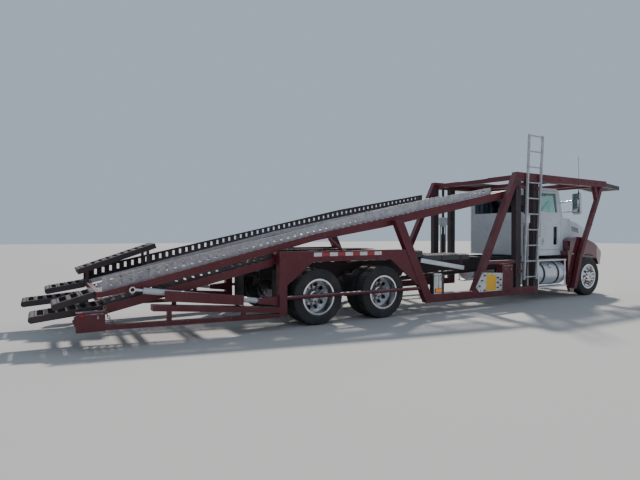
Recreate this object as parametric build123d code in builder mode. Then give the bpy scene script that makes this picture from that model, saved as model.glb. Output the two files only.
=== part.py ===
from build123d import *
import math
import os

# A rigid car transporter truck: a day cab with a long hood, a tilting upper deck, a fixed lower deck
# and a head rack over the cab. Millimetres, x forwards, y to the left, z up from the ground.
# The origin is under the middle of the truck's length and width.

os.makedirs("parts", exist_ok=True)

# Clearances
running_gap = 1.0
panel_gap = 6.0

# Wheels and tyres
tyre_diameter = 930.0
tyre_width = 255.0
bead_diameter = 572.0
rim_wall = 14.0
dual_spacing = 300.0
front_axle_x = 5365.0
drive_axle_xs = (-1010.0, -2345.0)
front_wheel_y = 1037.0
drive_wheel_y = 942.0
kingpin_y = 880.0
hand_holes = 10
hand_hole_radius = 36.0
hand_hole_circle = 196.0
axle_tube_radius = 58.0
spindle_radius = 40.0
kingpin_radius = 20.0
knuckle_ear_reach = 66.0

# Chassis frame
rail_y = 430.0
rail_depth = 270.0
rail_flange = 85.0
rail_wall = 10.0
rail_top = 985.0
rail_rear_x = -3060.0
rail_front_x = 5940.0

# Side frames
outer_y = 1290.0
frame_width = 120.0
inner_y = outer_y - frame_width
sill_bottom = 210.0
sill_depth = 150.0
sill_front_x = 3215.0
lean_rear_foot_x = -60.0
lean_rear_top_x = -815.0
lean_rear_top = 1745.0
lean_width = 190.0
lean_front_foot_x = 1190.0
lean_front_width = 140.0
lean_front_slope = 0.527
mast_size = 160.0
mast_xs = (2470.0, 3055.0)
waist_rail_z = 950.0
waist_rail_depth = 70.0

# Tandem frame over the drive wheels
tandem_rear_x = -3095.0
tandem_front_x = -900.0
tandem_top = 1220.0
tandem_depth = 170.0
tandem_post = 130.0
tandem_foot = 220.0
gusset_run = 470.0
gusset_drop = 360.0
side_rod_z = 490.0
side_rod_radius = 32.0

# Head rack
rack_over_cab = 80.0
rack_depth = 170.0
rack_front_x = 5885.0
rack_nose_x = 6550.0
rack_nose_rise = 60.0
rack_tread_y = (450.0, 1150.0)
rack_post_width = 110.0

# Upper deck
deck_y = 1150.0
deck_beam_width = 90.0
deck_beam_rear = (-5005.0, 870.0)
deck_beam_kink = (-2365.0, 1500.0)
deck_beam_front = (2330.0, 2430.0)
deck_rear_depth = 110.0
deck_front_depth = 160.0
deck_tail_x = -5600.0
deck_tail_z = 735.0
deck_pivot = (2255.0, 2335.0)
deck_pin_radius = 32.0
tread_y = (420.0, 1056.0)
tread_plate = 8.0
tread_flange = 60.0
guard_rear_height = 190.0
guard_kink_height = 165.0
guard_front_height = 270.0
guard_step_x = -500.0
tread_rear_x = -5590.0
tread_front_x = 1950.0
slot_pitch = 120.0
slot_width = 55.0
slot_edge = 70.0
guard_slot = (40.0, 90.0)
cross_size = 80.0

# Loading ramps
ramp_y = (480.0, 1040.0)
upper_ramp_root = (-5675.0, 735.0)
upper_ramp_tips = {"right": (-6180.0, 590.0), "left": (-6235.0, 650.0)}
lower_ramp_root = (-5578.0, 548.0)
lower_ramp_tips = {"right": (-6435.0, 455.0), "left": (-6550.0, 475.0)}
ramp_thickness = 85.0
skid_y = (470.0, 1036.0)
skid_rear = (-5795.0, 935.0)
skid_front = (-4600.0, 1340.0)

# Lower deck
lower_tandem_z = 1190.0
lower_front_z = 1100.0
lower_front_x = 1250.0
lower_rear_start = (-3125.0, 1110.0)
lower_rear_end = (-5570.0, 552.0)
lower_y = 1105.0
lower_beam_width = 60.0
lower_depth = 120.0
lower_guard_height = 70.0

# Lift cylinders
lift_y = 1205.0
lift_foot = (-3375.0, 470.0)
lift_eye = (-5235.0, 750.0)
lift_barrel_radius = 44.0
lift_rod_radius = 24.0
lift_barrel_end = 0.925
lift_rod_start = 0.16

# Cab
cab_y = 950.0
cab_rear_x = 3500.0
cab_roof = 2580.0
cab_floor = 1000.0
cab_wall = 60.0
cab_corner = 100.0
cowl_x = 4925.0
cowl_top = 1885.0
windshield_top = (4470.0, 2520.0)
windshield_foot = (4640.0, 1905.0)
door_rear_x = 3640.0
door_front_x = 4550.0
door_sill = 1130.0
door_head = 2520.0
door_shoulder = 1900.0
door_rake = 150.0
rear_window_y = 760.0
rear_window_z = (2020.0, 2420.0)
glass_thickness = 6.0
rack_bottom = cab_roof + rack_over_cab
rack_nose_top = rack_bottom + rack_nose_rise

# Hood, fenders and front
hood_hinge = (6040.0, 740.0)
hood_half_width = 785.0
hood_wall = 25.0
hood_rear_x = 4950.0
hood_front_x = 6010.0
fender_y = (795.0, 1150.0)
fender_skin_y = 1090.0
wheel_arch_radius = 560.0
bumper_x = 6080.0
bumper_front_x = 6210.0
bumper_top = 700.0
bumper_bottom = 370.0
bumper_half = 950.0
bumper_flat_half = 760.0

# Engine, gearbox and shafts
engine_x = (4990.0, 5640.0)
engine_half = 300.0
engine_z = (640.0, 1560.0)
gearbox_rear_x = 4300.0
shaft_joint_x = 3560.0
radiator_x = (5730.0, 5830.0)
radiator_half = 330.0
radiator_z = (800.0, 1380.0)

sides = (("right", -1), ("left", 1))


def side_view(y):
    """A drawing plane seen from the truck's right: local x forwards, local y up."""
    return Plane(origin=(0, y, 0), x_dir=(1, 0, 0), z_dir=(0, -1, 0))


def add_outline(points, y_from, y_to, mode=Mode.ADD):
    """Extrude a side-view outline between two offsets from the centre line."""
    with BuildSketch(side_view(max(y_from, y_to))) as outline:
        with BuildLine():
            Polyline(*points, close=True)
        make_face()
    extrude(outline.sketch, amount=abs(y_to - y_from), mode=mode)


def add_plan(points, z_from, z_to, mode=Mode.ADD):
    """Extrude a plan-view outline between two heights."""
    with BuildSketch(Plane.XY.offset(min(z_from, z_to))) as outline:
        with BuildLine():
            Polyline(*points, close=True)
        make_face()
    extrude(outline.sketch, amount=abs(z_to - z_from), mode=mode)


def add_block(x_from, x_to, y_from, y_to, z_from, z_to, mode=Mode.ADD):
    """A square-cornered block between opposite corners."""
    centre = ((x_from + x_to) / 2, (y_from + y_to) / 2, (z_from + z_to) / 2)
    with Locations(centre):
        Box(abs(x_to - x_from), abs(y_to - y_from), abs(z_to - z_from), mode=mode)


def add_slab(start, end, depth, y_from, y_to, mode=Mode.ADD):
    """A beam whose top edge runs from start to end, with upright ends."""
    corners = [start, end, (end[0], end[1] - depth), (start[0], start[1] - depth)]
    add_outline(corners, y_from, y_to, mode)


def add_lean(foot_x, foot_z, top_x, top_z, width, y_from, y_to, mode=Mode.ADD):
    """A leaning post with level ends, given its rear edge and its level width."""
    corners = [(foot_x, foot_z), (foot_x + width, foot_z), (top_x + width, top_z), (top_x, top_z)]
    add_outline(corners, y_from, y_to, mode)


def add_rod(start, end, radius, mode=Mode.ADD):
    """A round bar between two points in space."""
    run = Vector(*end) - Vector(*start)
    with BuildSketch(Plane(origin=start, z_dir=run)) as section:
        Circle(radius)
    extrude(section.sketch, amount=run.length, mode=mode)


def add_turned(points, x, z, mode=Mode.ADD):
    """Turn a section about the crossways line through (x, z); its points are (y, radius)."""
    with BuildSketch(Plane(origin=(x, 0, z), x_dir=(0, 1, 0), z_dir=(1, 0, 0))) as section:
        with BuildLine():
            Polyline(*points, close=True)
        make_face()
    revolve(section.sketch, axis=Axis((x, 0, z), (0, 1, 0)), mode=mode)


def on_line(start, end, x):
    """The height of the line from start to end at x."""
    share = (x - start[0]) / (end[0] - start[0])
    return start[1] + share * (end[1] - start[1])


def between(start, end, share):
    """The point a share of the way from start to end."""
    return (start[0] + share * (end[0] - start[0]), start[1] + share * (end[1] - start[1]))


def add_runway(start, end, y_near, y_far, thickness):
    """A plate between two points of its top, with slots right through it across the run."""
    run = math.hypot(end[0] - start[0], end[1] - start[1])
    along = (end[0] - start[0], 0, end[1] - start[1])
    upright = (start[1] - end[1], 0, end[0] - start[0])
    origin = (start[0], (y_near + y_far) / 2, start[1])
    width = abs(y_far - y_near)
    count = int((run - slot_edge) / slot_pitch)
    first = (run - (count - 1) * slot_pitch) / 2
    with BuildSketch(Plane(origin=origin, x_dir=along, z_dir=upright)) as plate:
        with Locations((run / 2, 0)):
            Rectangle(run, width)
        with Locations(*[(first + step * slot_pitch, 0) for step in range(count)]):
            Rectangle(slot_width, width - 2 * slot_edge, mode=Mode.SUBTRACT)
    extrude(plate.sketch, amount=-thickness)


def add_guard(line, heights, y_from, y_to):
    """An upright wheel guard on a line of points, rising by a height at each, with a row of slots."""
    crest = [(x, z + rise) for (x, z), rise in zip(line, heights)]
    start, end = line[0][0], line[-1][0]
    count = int((end - start) / slot_pitch) - 1
    with BuildSketch(side_view(max(y_from, y_to))) as guard:
        with BuildLine():
            Polyline(*line, *reversed(crest), close=True)
        make_face()
        for step in range(count):
            x = start + (step + 1) * slot_pitch
            place = max(n for n, point in enumerate(line[:-1]) if point[0] <= x)
            foot = on_line(line[place], line[place + 1], x)
            head = on_line(crest[place], crest[place + 1], x)
            with Locations((x, (foot + head) / 2 + tread_plate)):
                Rectangle(guard_slot[0], min(guard_slot[1], (head - foot) / 2), mode=Mode.SUBTRACT)
    extrude(guard.sketch, amount=abs(y_to - y_from))


def write(part, name):
    """Label a finished piece and write it under its own name."""
    part.label = name
    export_step(part, f"parts/{name}.step")


# Tyres and rims
tyre_radius = tyre_diameter / 2
bead_radius = bead_diameter / 2
tread_half = tyre_width / 2 - 18
flange_y = tyre_width / 2 - 22
flange_radius = bead_radius + 14


def add_tyre(x, y):
    """A road tyre: flat crown, rounded shoulders and bulging sidewalls down to the bead."""
    half = tyre_width / 2
    middle = (tyre_radius + bead_radius) / 2
    outline = [
        (-flange_y, bead_radius),
        (-flange_y, flange_radius),
        (-half, middle),
        (-half + 6, tyre_radius - 35),
        (-tread_half, tyre_radius - 6),
        (0, tyre_radius),
        (tread_half, tyre_radius - 6),
        (half - 6, tyre_radius - 35),
        (half, middle),
        (flange_y, flange_radius),
        (flange_y, bead_radius),
    ]
    add_turned([(y + across, radius) for across, radius in outline], x, tyre_radius)


disc_offset = dual_spacing / 2
disc_bore = 110.0


def add_rim(x, y, out):
    """A ten-hole disc wheel: barrel, two flanges and a dished disc on its out side."""
    barrel = bead_radius - running_gap
    edge = flange_y + 12
    section = [
        (-edge, barrel - rim_wall),
        (-edge, flange_radius - 2),
        (-flange_y - running_gap, flange_radius - 2),
        (-flange_y - running_gap, barrel),
        (flange_y + running_gap, barrel),
        (flange_y + running_gap, flange_radius - 2),
        (edge, flange_radius - 2),
        (edge, barrel - rim_wall),
    ]
    add_turned([(y + across, radius) for across, radius in section], x, tyre_radius)
    disc = [
        (flange_y - 30, barrel - rim_wall / 2),
        (disc_offset, 178),
        (disc_offset, disc_bore),
        (disc_offset - rim_wall, disc_bore),
        (disc_offset - rim_wall, 168),
        (flange_y - 60, barrel - rim_wall / 2),
    ]
    add_turned([(y + out * across, radius) for across, radius in disc], x, tyre_radius)
    with BuildSketch(side_view(y + out * disc_offset + disc_offset)) as holes:
        with Locations((x, tyre_radius)):
            with PolarLocations(hand_hole_circle, hand_holes):
                Circle(hand_hole_radius)
    extrude(holes.sketch, amount=2 * disc_offset, mode=Mode.SUBTRACT)


for name, side in sides:
    with BuildPart() as front_tyre:
        add_tyre(front_axle_x, side * front_wheel_y)
    write(front_tyre.part, f"front_tyre_{name}")

    # The steered wheel's disc faces out, and its hub turns on the spindle.
    hub_out = front_wheel_y + disc_offset + 25
    hub_in = front_wheel_y - 30
    front_hub = [
        (hub_in, spindle_radius + running_gap),
        (hub_in, 95),
        (front_wheel_y + disc_offset - rim_wall, 118),
        (front_wheel_y + disc_offset, 118),
        (hub_out, 80),
        (hub_out, 0),
        (front_wheel_y + 105, 0),
        (front_wheel_y + 105, spindle_radius + running_gap),
    ]
    with BuildPart() as front_rim:
        add_rim(front_axle_x, side * front_wheel_y, side)
        add_turned([(side * y, radius) for y, radius in front_hub], front_axle_x, tyre_radius)
    write(front_rim.part, f"front_rim_{name}")

    for axle, x in zip(("front", "rear"), drive_axle_xs):
        outer_wheel_y = drive_wheel_y + dual_spacing / 2
        inner_wheel_y = drive_wheel_y - dual_spacing / 2
        with BuildPart() as dual_tyres:
            add_tyre(x, side * outer_wheel_y)
            add_tyre(x, side * inner_wheel_y)
        write(dual_tyres.part, f"dual_tyres_{axle}_{name}")

        # Both discs are bolted to one hub, with the brake drum inside the inner rim.
        drive_hub = [
            (drive_wheel_y - 270, axle_tube_radius + running_gap),
            (drive_wheel_y - 270, 215),
            (drive_wheel_y - 90, 215),
            (drive_wheel_y - 60, 118),
            (drive_wheel_y + rim_wall, 118),
            (drive_wheel_y + 30, 95),
            (drive_wheel_y + 130, 88),
            (drive_wheel_y + 140, 70),
            (drive_wheel_y + 140, 0),
            (drive_wheel_y + 40, 0),
            (drive_wheel_y + 40, axle_tube_radius + running_gap),
        ]
        with BuildPart() as dual_rims:
            add_rim(x, side * outer_wheel_y, -side)
            add_rim(x, side * inner_wheel_y, side)
            add_turned([(side * y, radius) for y, radius in drive_hub], x, tyre_radius)
        write(dual_rims.part, f"dual_rims_{axle}_{name}")

    # Steering knuckle: an upright on the kingpin, its spindle and a steering arm.
    with BuildPart() as knuckle:
        add_block(
            front_axle_x - 55, front_axle_x + 55,
            side * (kingpin_y - 40), side * (kingpin_y + knuckle_ear_reach),
            tyre_radius + 45, tyre_radius + 85,
        )
        add_block(
            front_axle_x - 55, front_axle_x + 55,
            side * (kingpin_y - 40), side * (kingpin_y + knuckle_ear_reach),
            tyre_radius - 85, tyre_radius - 45,
        )
        add_block(
            front_axle_x - 55, front_axle_x + 55,
            side * (kingpin_y + knuckle_ear_reach - 6), side * (kingpin_y + knuckle_ear_reach + 20),
            tyre_radius - 85, tyre_radius + 85,
        )
        add_rod(
            (front_axle_x, side * (kingpin_y + knuckle_ear_reach + 14), tyre_radius),
            (front_axle_x, side * (front_wheel_y + 100), tyre_radius),
            spindle_radius,
        )
        add_block(
            front_axle_x - 230, front_axle_x - 50,
            side * (kingpin_y - 40), side * (kingpin_y),
            tyre_radius - 85, tyre_radius - 55,
        )
        with Locations((front_axle_x, side * kingpin_y, tyre_radius)):
            Cylinder(kingpin_radius + running_gap, 200, mode=Mode.SUBTRACT)
    write(knuckle.part, f"knuckle_{name}")

# Axles: a forged front beam dropped between its kingpin ends, and two drive axles whose tubes
# have a differential bowl in the middle
with BuildPart() as axles:
    beam_half = kingpin_y - 60
    with BuildSketch(Plane(origin=(front_axle_x - 45, 0, 0), x_dir=(0, 1, 0), z_dir=(1, 0, 0))) as beam:
        with BuildLine():
            Polyline(
                (-beam_half - 90, tyre_radius - 38),
                (-beam_half - 90, tyre_radius + 38),
                (-beam_half + 60, tyre_radius + 38),
                (-rail_y - 90, tyre_radius - 20),
                (rail_y + 90, tyre_radius - 20),
                (beam_half - 60, tyre_radius + 38),
                (beam_half + 90, tyre_radius + 38),
                (beam_half + 90, tyre_radius - 38),
                (beam_half - 40, tyre_radius - 38),
                (rail_y + 60, tyre_radius - 125),
                (-rail_y - 60, tyre_radius - 125),
                (-beam_half + 40, tyre_radius - 38),
                close=True,
            )
        make_face()
    extrude(beam.sketch, amount=90)
    for name, side in sides:
        with Locations((front_axle_x, side * kingpin_y, tyre_radius)):
            Cylinder(kingpin_radius, 180)
    tube_end = drive_wheel_y + 30
    bowl = [
        (-tube_end, 0),
        (-tube_end, axle_tube_radius),
        (-260, axle_tube_radius),
        (-210, 130),
        (-110, 205),
        (110, 205),
        (210, 130),
        (260, axle_tube_radius),
        (tube_end, axle_tube_radius),
        (tube_end, 0),
    ]
    for x in drive_axle_xs:
        add_turned(bowl, x, tyre_radius)
write(axles.part, "axles")

# Frame rails and what crosses between them
with BuildPart() as frame:
    for name, side in sides:
        add_block(
            rail_rear_x, rail_front_x, side * (rail_y - rail_flange), side * rail_y,
            rail_top - rail_depth, rail_top,
        )
        add_block(
            rail_rear_x, rail_front_x, side * (rail_y - rail_flange), side * (rail_y - rail_wall),
            rail_top - rail_depth + rail_wall, rail_top - rail_wall, mode=Mode.SUBTRACT,
        )
        horn_y = side * (rail_y - 40)
        add_block(rail_front_x - 10, bumper_x, horn_y, side * rail_y, 600, rail_top - rail_depth)
    cross_half = rail_y - rail_wall
    for x in (-2950, -1680, -300, 700, 1700, 2700, 3400):
        add_block(x - 40, x + 40, -cross_half, cross_half, rail_top - 150, rail_top - 20)
write(frame.part, "frame")

# Springs: a leaf pack over the front axle, an arm and an air spring at each drive axle
with BuildPart() as suspension:
    for name, side in sides:
        spring_y = side * (rail_y - 45)
        add_outline(
            [
                (front_axle_x - 700, 640), (front_axle_x - 300, 520), (front_axle_x - 90, 462),
                (front_axle_x + 90, 462), (front_axle_x + 300, 520), (front_axle_x + 560, 640),
                (front_axle_x + 560, 675), (front_axle_x + 300, 565), (front_axle_x, 545),
                (front_axle_x - 300, 565), (front_axle_x - 700, 675),
            ],
            spring_y - 40, spring_y + 40,
        )
        add_block(front_axle_x - 700, front_axle_x - 640, spring_y - 30, spring_y + 30, 640, 715)
        add_block(front_axle_x + 500, front_axle_x + 560, spring_y - 30, spring_y + 30, 640, 715)
        for x in drive_axle_xs:
            arm_y = side * 545
            add_outline(
                [(x - 120, 530), (x + 480, 610), (x + 480, 700), (x - 120, 590)],
                arm_y - 40, arm_y + 40,
            )
            with Locations((x - 330, arm_y, 660)):
                Cylinder(95, 200)
            add_block(x - 430, x - 115, arm_y - 50, arm_y + 50, 525, 560)
            add_block(x - 390, x - 270, arm_y, side * rail_y, 755, 800)
            add_block(x + 420, x + 480, arm_y - 20 * side, side * rail_y, 605, 760)
write(suspension.part, "suspension")

# Engine, gearbox, propeller shafts and radiator as plain masses
with BuildPart() as engine_driveline:
    add_block(*engine_x, -engine_half, engine_half, *engine_z)
    add_rod((engine_x[0] - 10, 0, 770), (gearbox_rear_x, 0, 770), 225)
    add_rod((gearbox_rear_x + 10, 0, 740), (shaft_joint_x, 0, 720), 160)
    add_rod((shaft_joint_x + 10, 0, 700), (drive_axle_xs[0] + 215, 0, 500), 50)
    add_rod((drive_axle_xs[0] - 215, 0, 490), (drive_axle_xs[1] + 215, 0, 480), 45)
    add_block(*radiator_x, -radiator_half, radiator_half, *radiator_z)
write(engine_driveline.part, "engine_driveline")

# Front bumper with turned-back ends, and the two tow eyes under it
with BuildPart() as bumper:
    add_plan(
        [
            (bumper_front_x, -bumper_flat_half), (bumper_front_x, bumper_flat_half),
            (bumper_front_x - 90, bumper_half), (bumper_front_x - 130, bumper_half),
            (bumper_x, bumper_flat_half - 20), (bumper_x, 20 - bumper_flat_half),
            (bumper_front_x - 130, -bumper_half), (bumper_front_x - 90, -bumper_half),
        ],
        bumper_bottom, bumper_top,
    )
write(bumper.part, "bumper")

tow_eye_x = 6020.0
tow_eye_z = 560.0
tow_eye_radius = 22.0
with BuildPart() as tow_eyes:
    for name, side in sides:
        add_block(tow_eye_x - 60, bumper_x, side * 340 - 15, side * 340 + 15, 500, rail_top - rail_depth)
        with Locations((tow_eye_x, side * 340, tow_eye_z)):
            Cylinder(tow_eye_radius, 60, rotation=(90, 0, 0), mode=Mode.SUBTRACT)
write(tow_eyes.part, "tow_eyes")

# Cab shell: roof, floor, walls and firewall as one pressing, with a wide rear window
cab_outline = [
    (cab_rear_x, cab_floor),
    (cab_rear_x, cab_roof - 30),
    (cab_rear_x + 120, cab_roof),
    (windshield_top[0] - 120, cab_roof),
    windshield_top,
    windshield_foot,
    (cowl_x, cowl_top - 20),
    (cowl_x, cab_floor),
]
cab_inside = [
    (cab_rear_x + cab_wall, cab_floor + cab_wall),
    (cab_rear_x + cab_wall, cab_roof - cab_wall - 40),
    (cab_rear_x + cab_wall + 70, cab_roof - cab_wall),
    (windshield_top[0] - 150, cab_roof - cab_wall),
    (windshield_top[0] - cab_wall - 5, windshield_top[1] - cab_wall),
    (windshield_foot[0] - cab_wall - 5, windshield_foot[1] - cab_wall),
    (cowl_x - cab_wall, cowl_top - 20 - cab_wall),
    (cowl_x - cab_wall, cab_floor + cab_wall),
]


def door_shape(gap):
    """The door opening's outline in side view, moved in by a gap all round."""
    return [
        (door_rear_x + gap, door_sill + gap),
        (door_rear_x + gap, door_head - gap),
        (door_front_x - door_rake - gap, door_head - gap),
        (door_front_x - gap, door_shoulder - gap / 2),
        (door_front_x - gap, door_sill + gap),
    ]


def band(start, end, inset, out, back):
    """Four corners of a band along a line: inset at both ends, reaching out and back from it."""
    run = math.hypot(end[0] - start[0], end[1] - start[1])
    along = ((end[0] - start[0]) / run, (end[1] - start[1]) / run)
    normal = (-along[1], along[0])
    first = (start[0] + inset * along[0], start[1] + inset * along[1])
    last = (end[0] - inset * along[0], end[1] - inset * along[1])
    return [
        (first[0] + out * normal[0], first[1] + out * normal[1]),
        (last[0] + out * normal[0], last[1] + out * normal[1]),
        (last[0] - back * normal[0], last[1] - back * normal[1]),
        (first[0] - back * normal[0], first[1] - back * normal[1]),
    ]


pane_y = (30.0, cab_y - 130)
with BuildPart() as cab_shell:
    add_outline(cab_outline, -cab_y, cab_y)
    rear_corners = cab_shell.edges().filter_by(Axis.Z).sort_by(Axis.X)[:2]
    fillet(rear_corners, radius=cab_corner)
    add_outline(cab_inside, -cab_y + cab_wall, cab_y - cab_wall, Mode.SUBTRACT)
    add_outline(door_shape(0), -cab_y - 10, cab_y + 10, Mode.SUBTRACT)
    add_block(
        cab_rear_x - 10, cab_rear_x + cab_wall + 10, -rear_window_y, rear_window_y, *rear_window_z,
        Mode.SUBTRACT,
    )
    for name, side in sides:
        add_outline(
            band(windshield_top, windshield_foot, 60, 120, 160),
            side * pane_y[0], side * pane_y[1], Mode.SUBTRACT,
        )
write(cab_shell.part, "cab_shell")

# Glass that does not open: two windshield panes and the rear window
with BuildPart() as cab_glass:
    for name, side in sides:
        add_outline(
            band(windshield_top, windshield_foot, 62, -20, 20 + glass_thickness),
            side * (pane_y[0] + 2), side * (pane_y[1] - 2),
        )
    add_block(
        cab_rear_x + 25, cab_rear_x + 25 + glass_thickness, 2 - rear_window_y, rear_window_y - 2,
        rear_window_z[0] + 2, rear_window_z[1] - 2,
    )
write(cab_glass.part, "cab_glass")

# Doors: as thick as the cab wall, with a main window and a low peep window
window_sill = 2020.0
window_head = 2465.0
door_window = [
    (door_rear_x + 100, window_sill), (door_rear_x + 100, window_head),
    (door_front_x - 205, window_head), (door_front_x - 130, window_sill),
]
peep_x = (4270.0, 4420.0)
peep_z = (1250.0, 1680.0)
peep_window = [
    (peep_x[0], peep_z[0]), (peep_x[0], peep_z[1]), (peep_x[1], peep_z[1]), (peep_x[1], peep_z[0]),
]
for name, side in sides:
    with BuildPart() as door:
        add_outline(door_shape(panel_gap), side * (cab_y - cab_wall), side * cab_y)
        add_outline(door_window, side * (cab_y - cab_wall - 10), side * (cab_y + 10), Mode.SUBTRACT)
        add_outline(peep_window, side * (cab_y - cab_wall - 10), side * (cab_y + 10), Mode.SUBTRACT)
    write(door.part, f"door_{name}")
    with BuildPart() as door_glass:
        add_outline(door_window, side * (cab_y - 34), side * (cab_y - 34 + glass_thickness))
        add_outline(peep_window, side * (cab_y - 34), side * (cab_y - 34 + glass_thickness))
    write(door_glass.part, f"door_glass_{name}")

# Inside the cab: dashboard and steering column, and two seats
floor_top = cab_floor + cab_wall
dash_x = windshield_foot[0] - 50
steering_hub = (4190.0, 460.0, 1700.0)
steering_radius = 200.0
with BuildPart() as cab_fittings:
    add_outline(
        [
            (dash_x - 300, 1450), (dash_x - 260, 1750), (dash_x - 170, 1790), (dash_x, 1780),
            (dash_x, 1450),
        ],
        -cab_y + cab_wall + 40, cab_y - cab_wall - 40,
    )
    add_rod((steering_hub[0] + 190, steering_hub[1], 1558), steering_hub, 30)
    with BuildSketch(Plane(origin=steering_hub, z_dir=(-0.8, 0, 0.6))) as wheel_ring:
        Circle(steering_radius)
        Circle(steering_radius - 28, mode=Mode.SUBTRACT)
        Rectangle(2 * steering_radius - 50, 40)
    extrude(wheel_ring.sketch, amount=26)
    for name, side in sides:
        add_block(3700, 4030, side * 290, side * 650, floor_top, floor_top + 260)
write(cab_fittings.part, "cab_fittings")

seat_y = (220.0, 720.0)
seat_top = floor_top + 400
with BuildPart() as seats:
    for name, side in sides:
        add_block(3690, 4080, side * seat_y[0], side * seat_y[1], floor_top + 260, seat_top)
        add_outline(
            [(3668, 1360), (3575, 2060), (3650, 2085), (3770, seat_top + 20), (3686, seat_top + 20)],
            side * (seat_y[0] + 20), side * (seat_y[1] - 20),
        )
write(seats.part, "seats")


# Hood: a tapering shell between four sections, tilting forwards with the fenders
hood_crown = 0.93
hood_sections = (
    # x, shoulder half width, bottom, shoulder, top
    (hood_rear_x, 765, 1150, 1790, 1902),
    (5600, 755, 1080, 1680, 1790),
    (5900, 740, 950, 1560, 1675),
    (hood_front_x, 715, 800, 1430, 1555),
)


def hood_section(x, shoulder, bottom, waist, top, wall):
    """One section across the hood, moved in by the wall and left open below."""
    low = bottom if wall == 0 else bottom - 60
    return [
        (-hood_half_width + wall, low),
        (-shoulder + wall, waist),
        (-shoulder * hood_crown + wall / 2, top - wall),
        (shoulder * hood_crown - wall / 2, top - wall),
        (shoulder - wall, waist),
        (hood_half_width - wall, low),
    ]


def add_hood(wall, reach, mode):
    """Loft the hood's sections, thinner by a wall, with the end sections moved out by reach."""
    faces = []
    for place, (x, shoulder, bottom, waist, top) in enumerate(hood_sections):
        shift = -reach if place == 0 else reach if place == len(hood_sections) - 1 else 0
        with BuildSketch(Plane(origin=(x + shift, 0, 0), x_dir=(0, 1, 0), z_dir=(1, 0, 0))) as cut:
            with BuildLine():
                Polyline(*hood_section(x, shoulder, bottom, waist, top, wall), close=True)
            make_face()
        faces.append(cut.sketch)
    loft(faces, ruled=True, mode=mode)


with BuildPart() as hood:
    add_hood(0, 0, Mode.ADD)
    add_hood(hood_wall, 5, Mode.SUBTRACT)
write(hood.part, "hood")

# Fenders: a slab over each front wheel with the wheel arch cut through it
fender_crown = [(4850, 1440), (5200, 1415), (5605, 1285), (5830, 1170), (6035, 1065), (6035, 985)]
fender_outline = [
    (4560, 250), (4540, 800), (4540, 1105), (4605, 1120), (4620, 1340), (4700, 1405), *fender_crown,
    (5950, 745), (5800, 745), (4800, 250), (4770, 120), (4650, 120),
]
fender_inside = [(4935, 1030), (4935, 1435), *fender_crown[1:], (5950, 745), (4900, 745)]
fender_back = ((cab_y + panel_gap, 1105), (1110, 1105), (1110, 255), (1100, 255), (1000, 700))
fender_back_x = (4540, 4600)
fender_shelf = [(4630, 1120), (4630, 1345), (4700, 1405), (4850, 1440), (4936, 1436), (4936, 1120)]
with BuildPart() as fenders:
    for name, side in sides:
        add_outline(fender_inside, side * fender_y[0], side * fender_skin_y)
        add_outline(fender_shelf, side * (cab_y + panel_gap), side * fender_skin_y)
        with BuildSketch(Plane(origin=(fender_back_x[0], 0, 0), x_dir=(0, 1, 0), z_dir=(1, 0, 0))) as back:
            with BuildLine():
                Polyline(*[(side * y, z) for y, z in fender_back], close=True)
            make_face()
        extrude(back.sketch, amount=fender_back_x[1] - fender_back_x[0])
        add_outline(fender_outline, side * fender_skin_y, side * fender_y[1])
        with Locations((front_axle_x, side * (fender_y[0] + fender_y[1]) / 2, tyre_radius)):
            Cylinder(wheel_arch_radius, 500, rotation=(90, 0, 0), mode=Mode.SUBTRACT)
        add_block(4810, 5860, side * 700, side * 1200, 0, tyre_radius, Mode.SUBTRACT)
        add_plan(
            [
                (5700, side * (fender_y[1] + 5)), (6040, side * (fender_y[1] - 70)),
                (6040, side * (fender_y[1] + 5)),
            ],
            0, 1600, Mode.SUBTRACT,
        )
write(fenders.part, "fenders")

# Grille with upright bars, and a headlamp on the front of each fender
grille_half = 560.0
grille_bottom = 790.0
grille_top = 1440.0
with BuildPart() as grille_and_lamps:
    grille_x = hood_front_x + panel_gap
    add_block(grille_x, grille_x + 50, -grille_half, grille_half, grille_bottom, grille_top)
    add_block(
        grille_x - 5, grille_x + 55, -grille_half + 50, grille_half - 50, grille_bottom + 50,
        grille_top - 50, Mode.SUBTRACT,
    )
    for step in range(9):
        bar_y = -440 + 110 * step
        add_block(grille_x + 15, grille_x + 38, bar_y - 12, bar_y + 12, grille_bottom + 49, grille_top - 49)
    for name, side in sides:
        add_outline(
            [(6036, 985), (6036, 1062), (6060, 1040), (6060, 985)],
            side * (fender_y[0] + 20), side * (fender_y[0] + 170),
        )
write(grille_and_lamps.part, "grille_and_lamps")

# Mirrors on brackets from the cowl
mirror_y = (1230.0, 1400.0)
mirror_x = windshield_foot[0] - 50
with BuildPart() as mirrors:
    for name, side in sides:
        add_outline(
            [
                (mirror_x, 1960), (mirror_x - 30, 2440), (mirror_x + 50, 2465), (mirror_x + 80, 1980),
            ],
            side * mirror_y[0], side * mirror_y[1],
        )
        low_foot = (mirror_x - 12, side * (cab_y + 2), 2030)
        high_foot = (mirror_x - 59, side * (cab_y + 8), 2250)
        add_rod((high_foot[0], side * cab_y, 2250), (high_foot[0], side * (cab_y + 14), 2250), 14)
        add_rod(low_foot, (mirror_x + 30, side * (mirror_y[0] + 10), 2030), 12)
        add_rod(high_foot, (mirror_x + 20, side * (mirror_y[0] + 20), 2300), 12)
write(mirrors.part, "mirrors")

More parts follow.
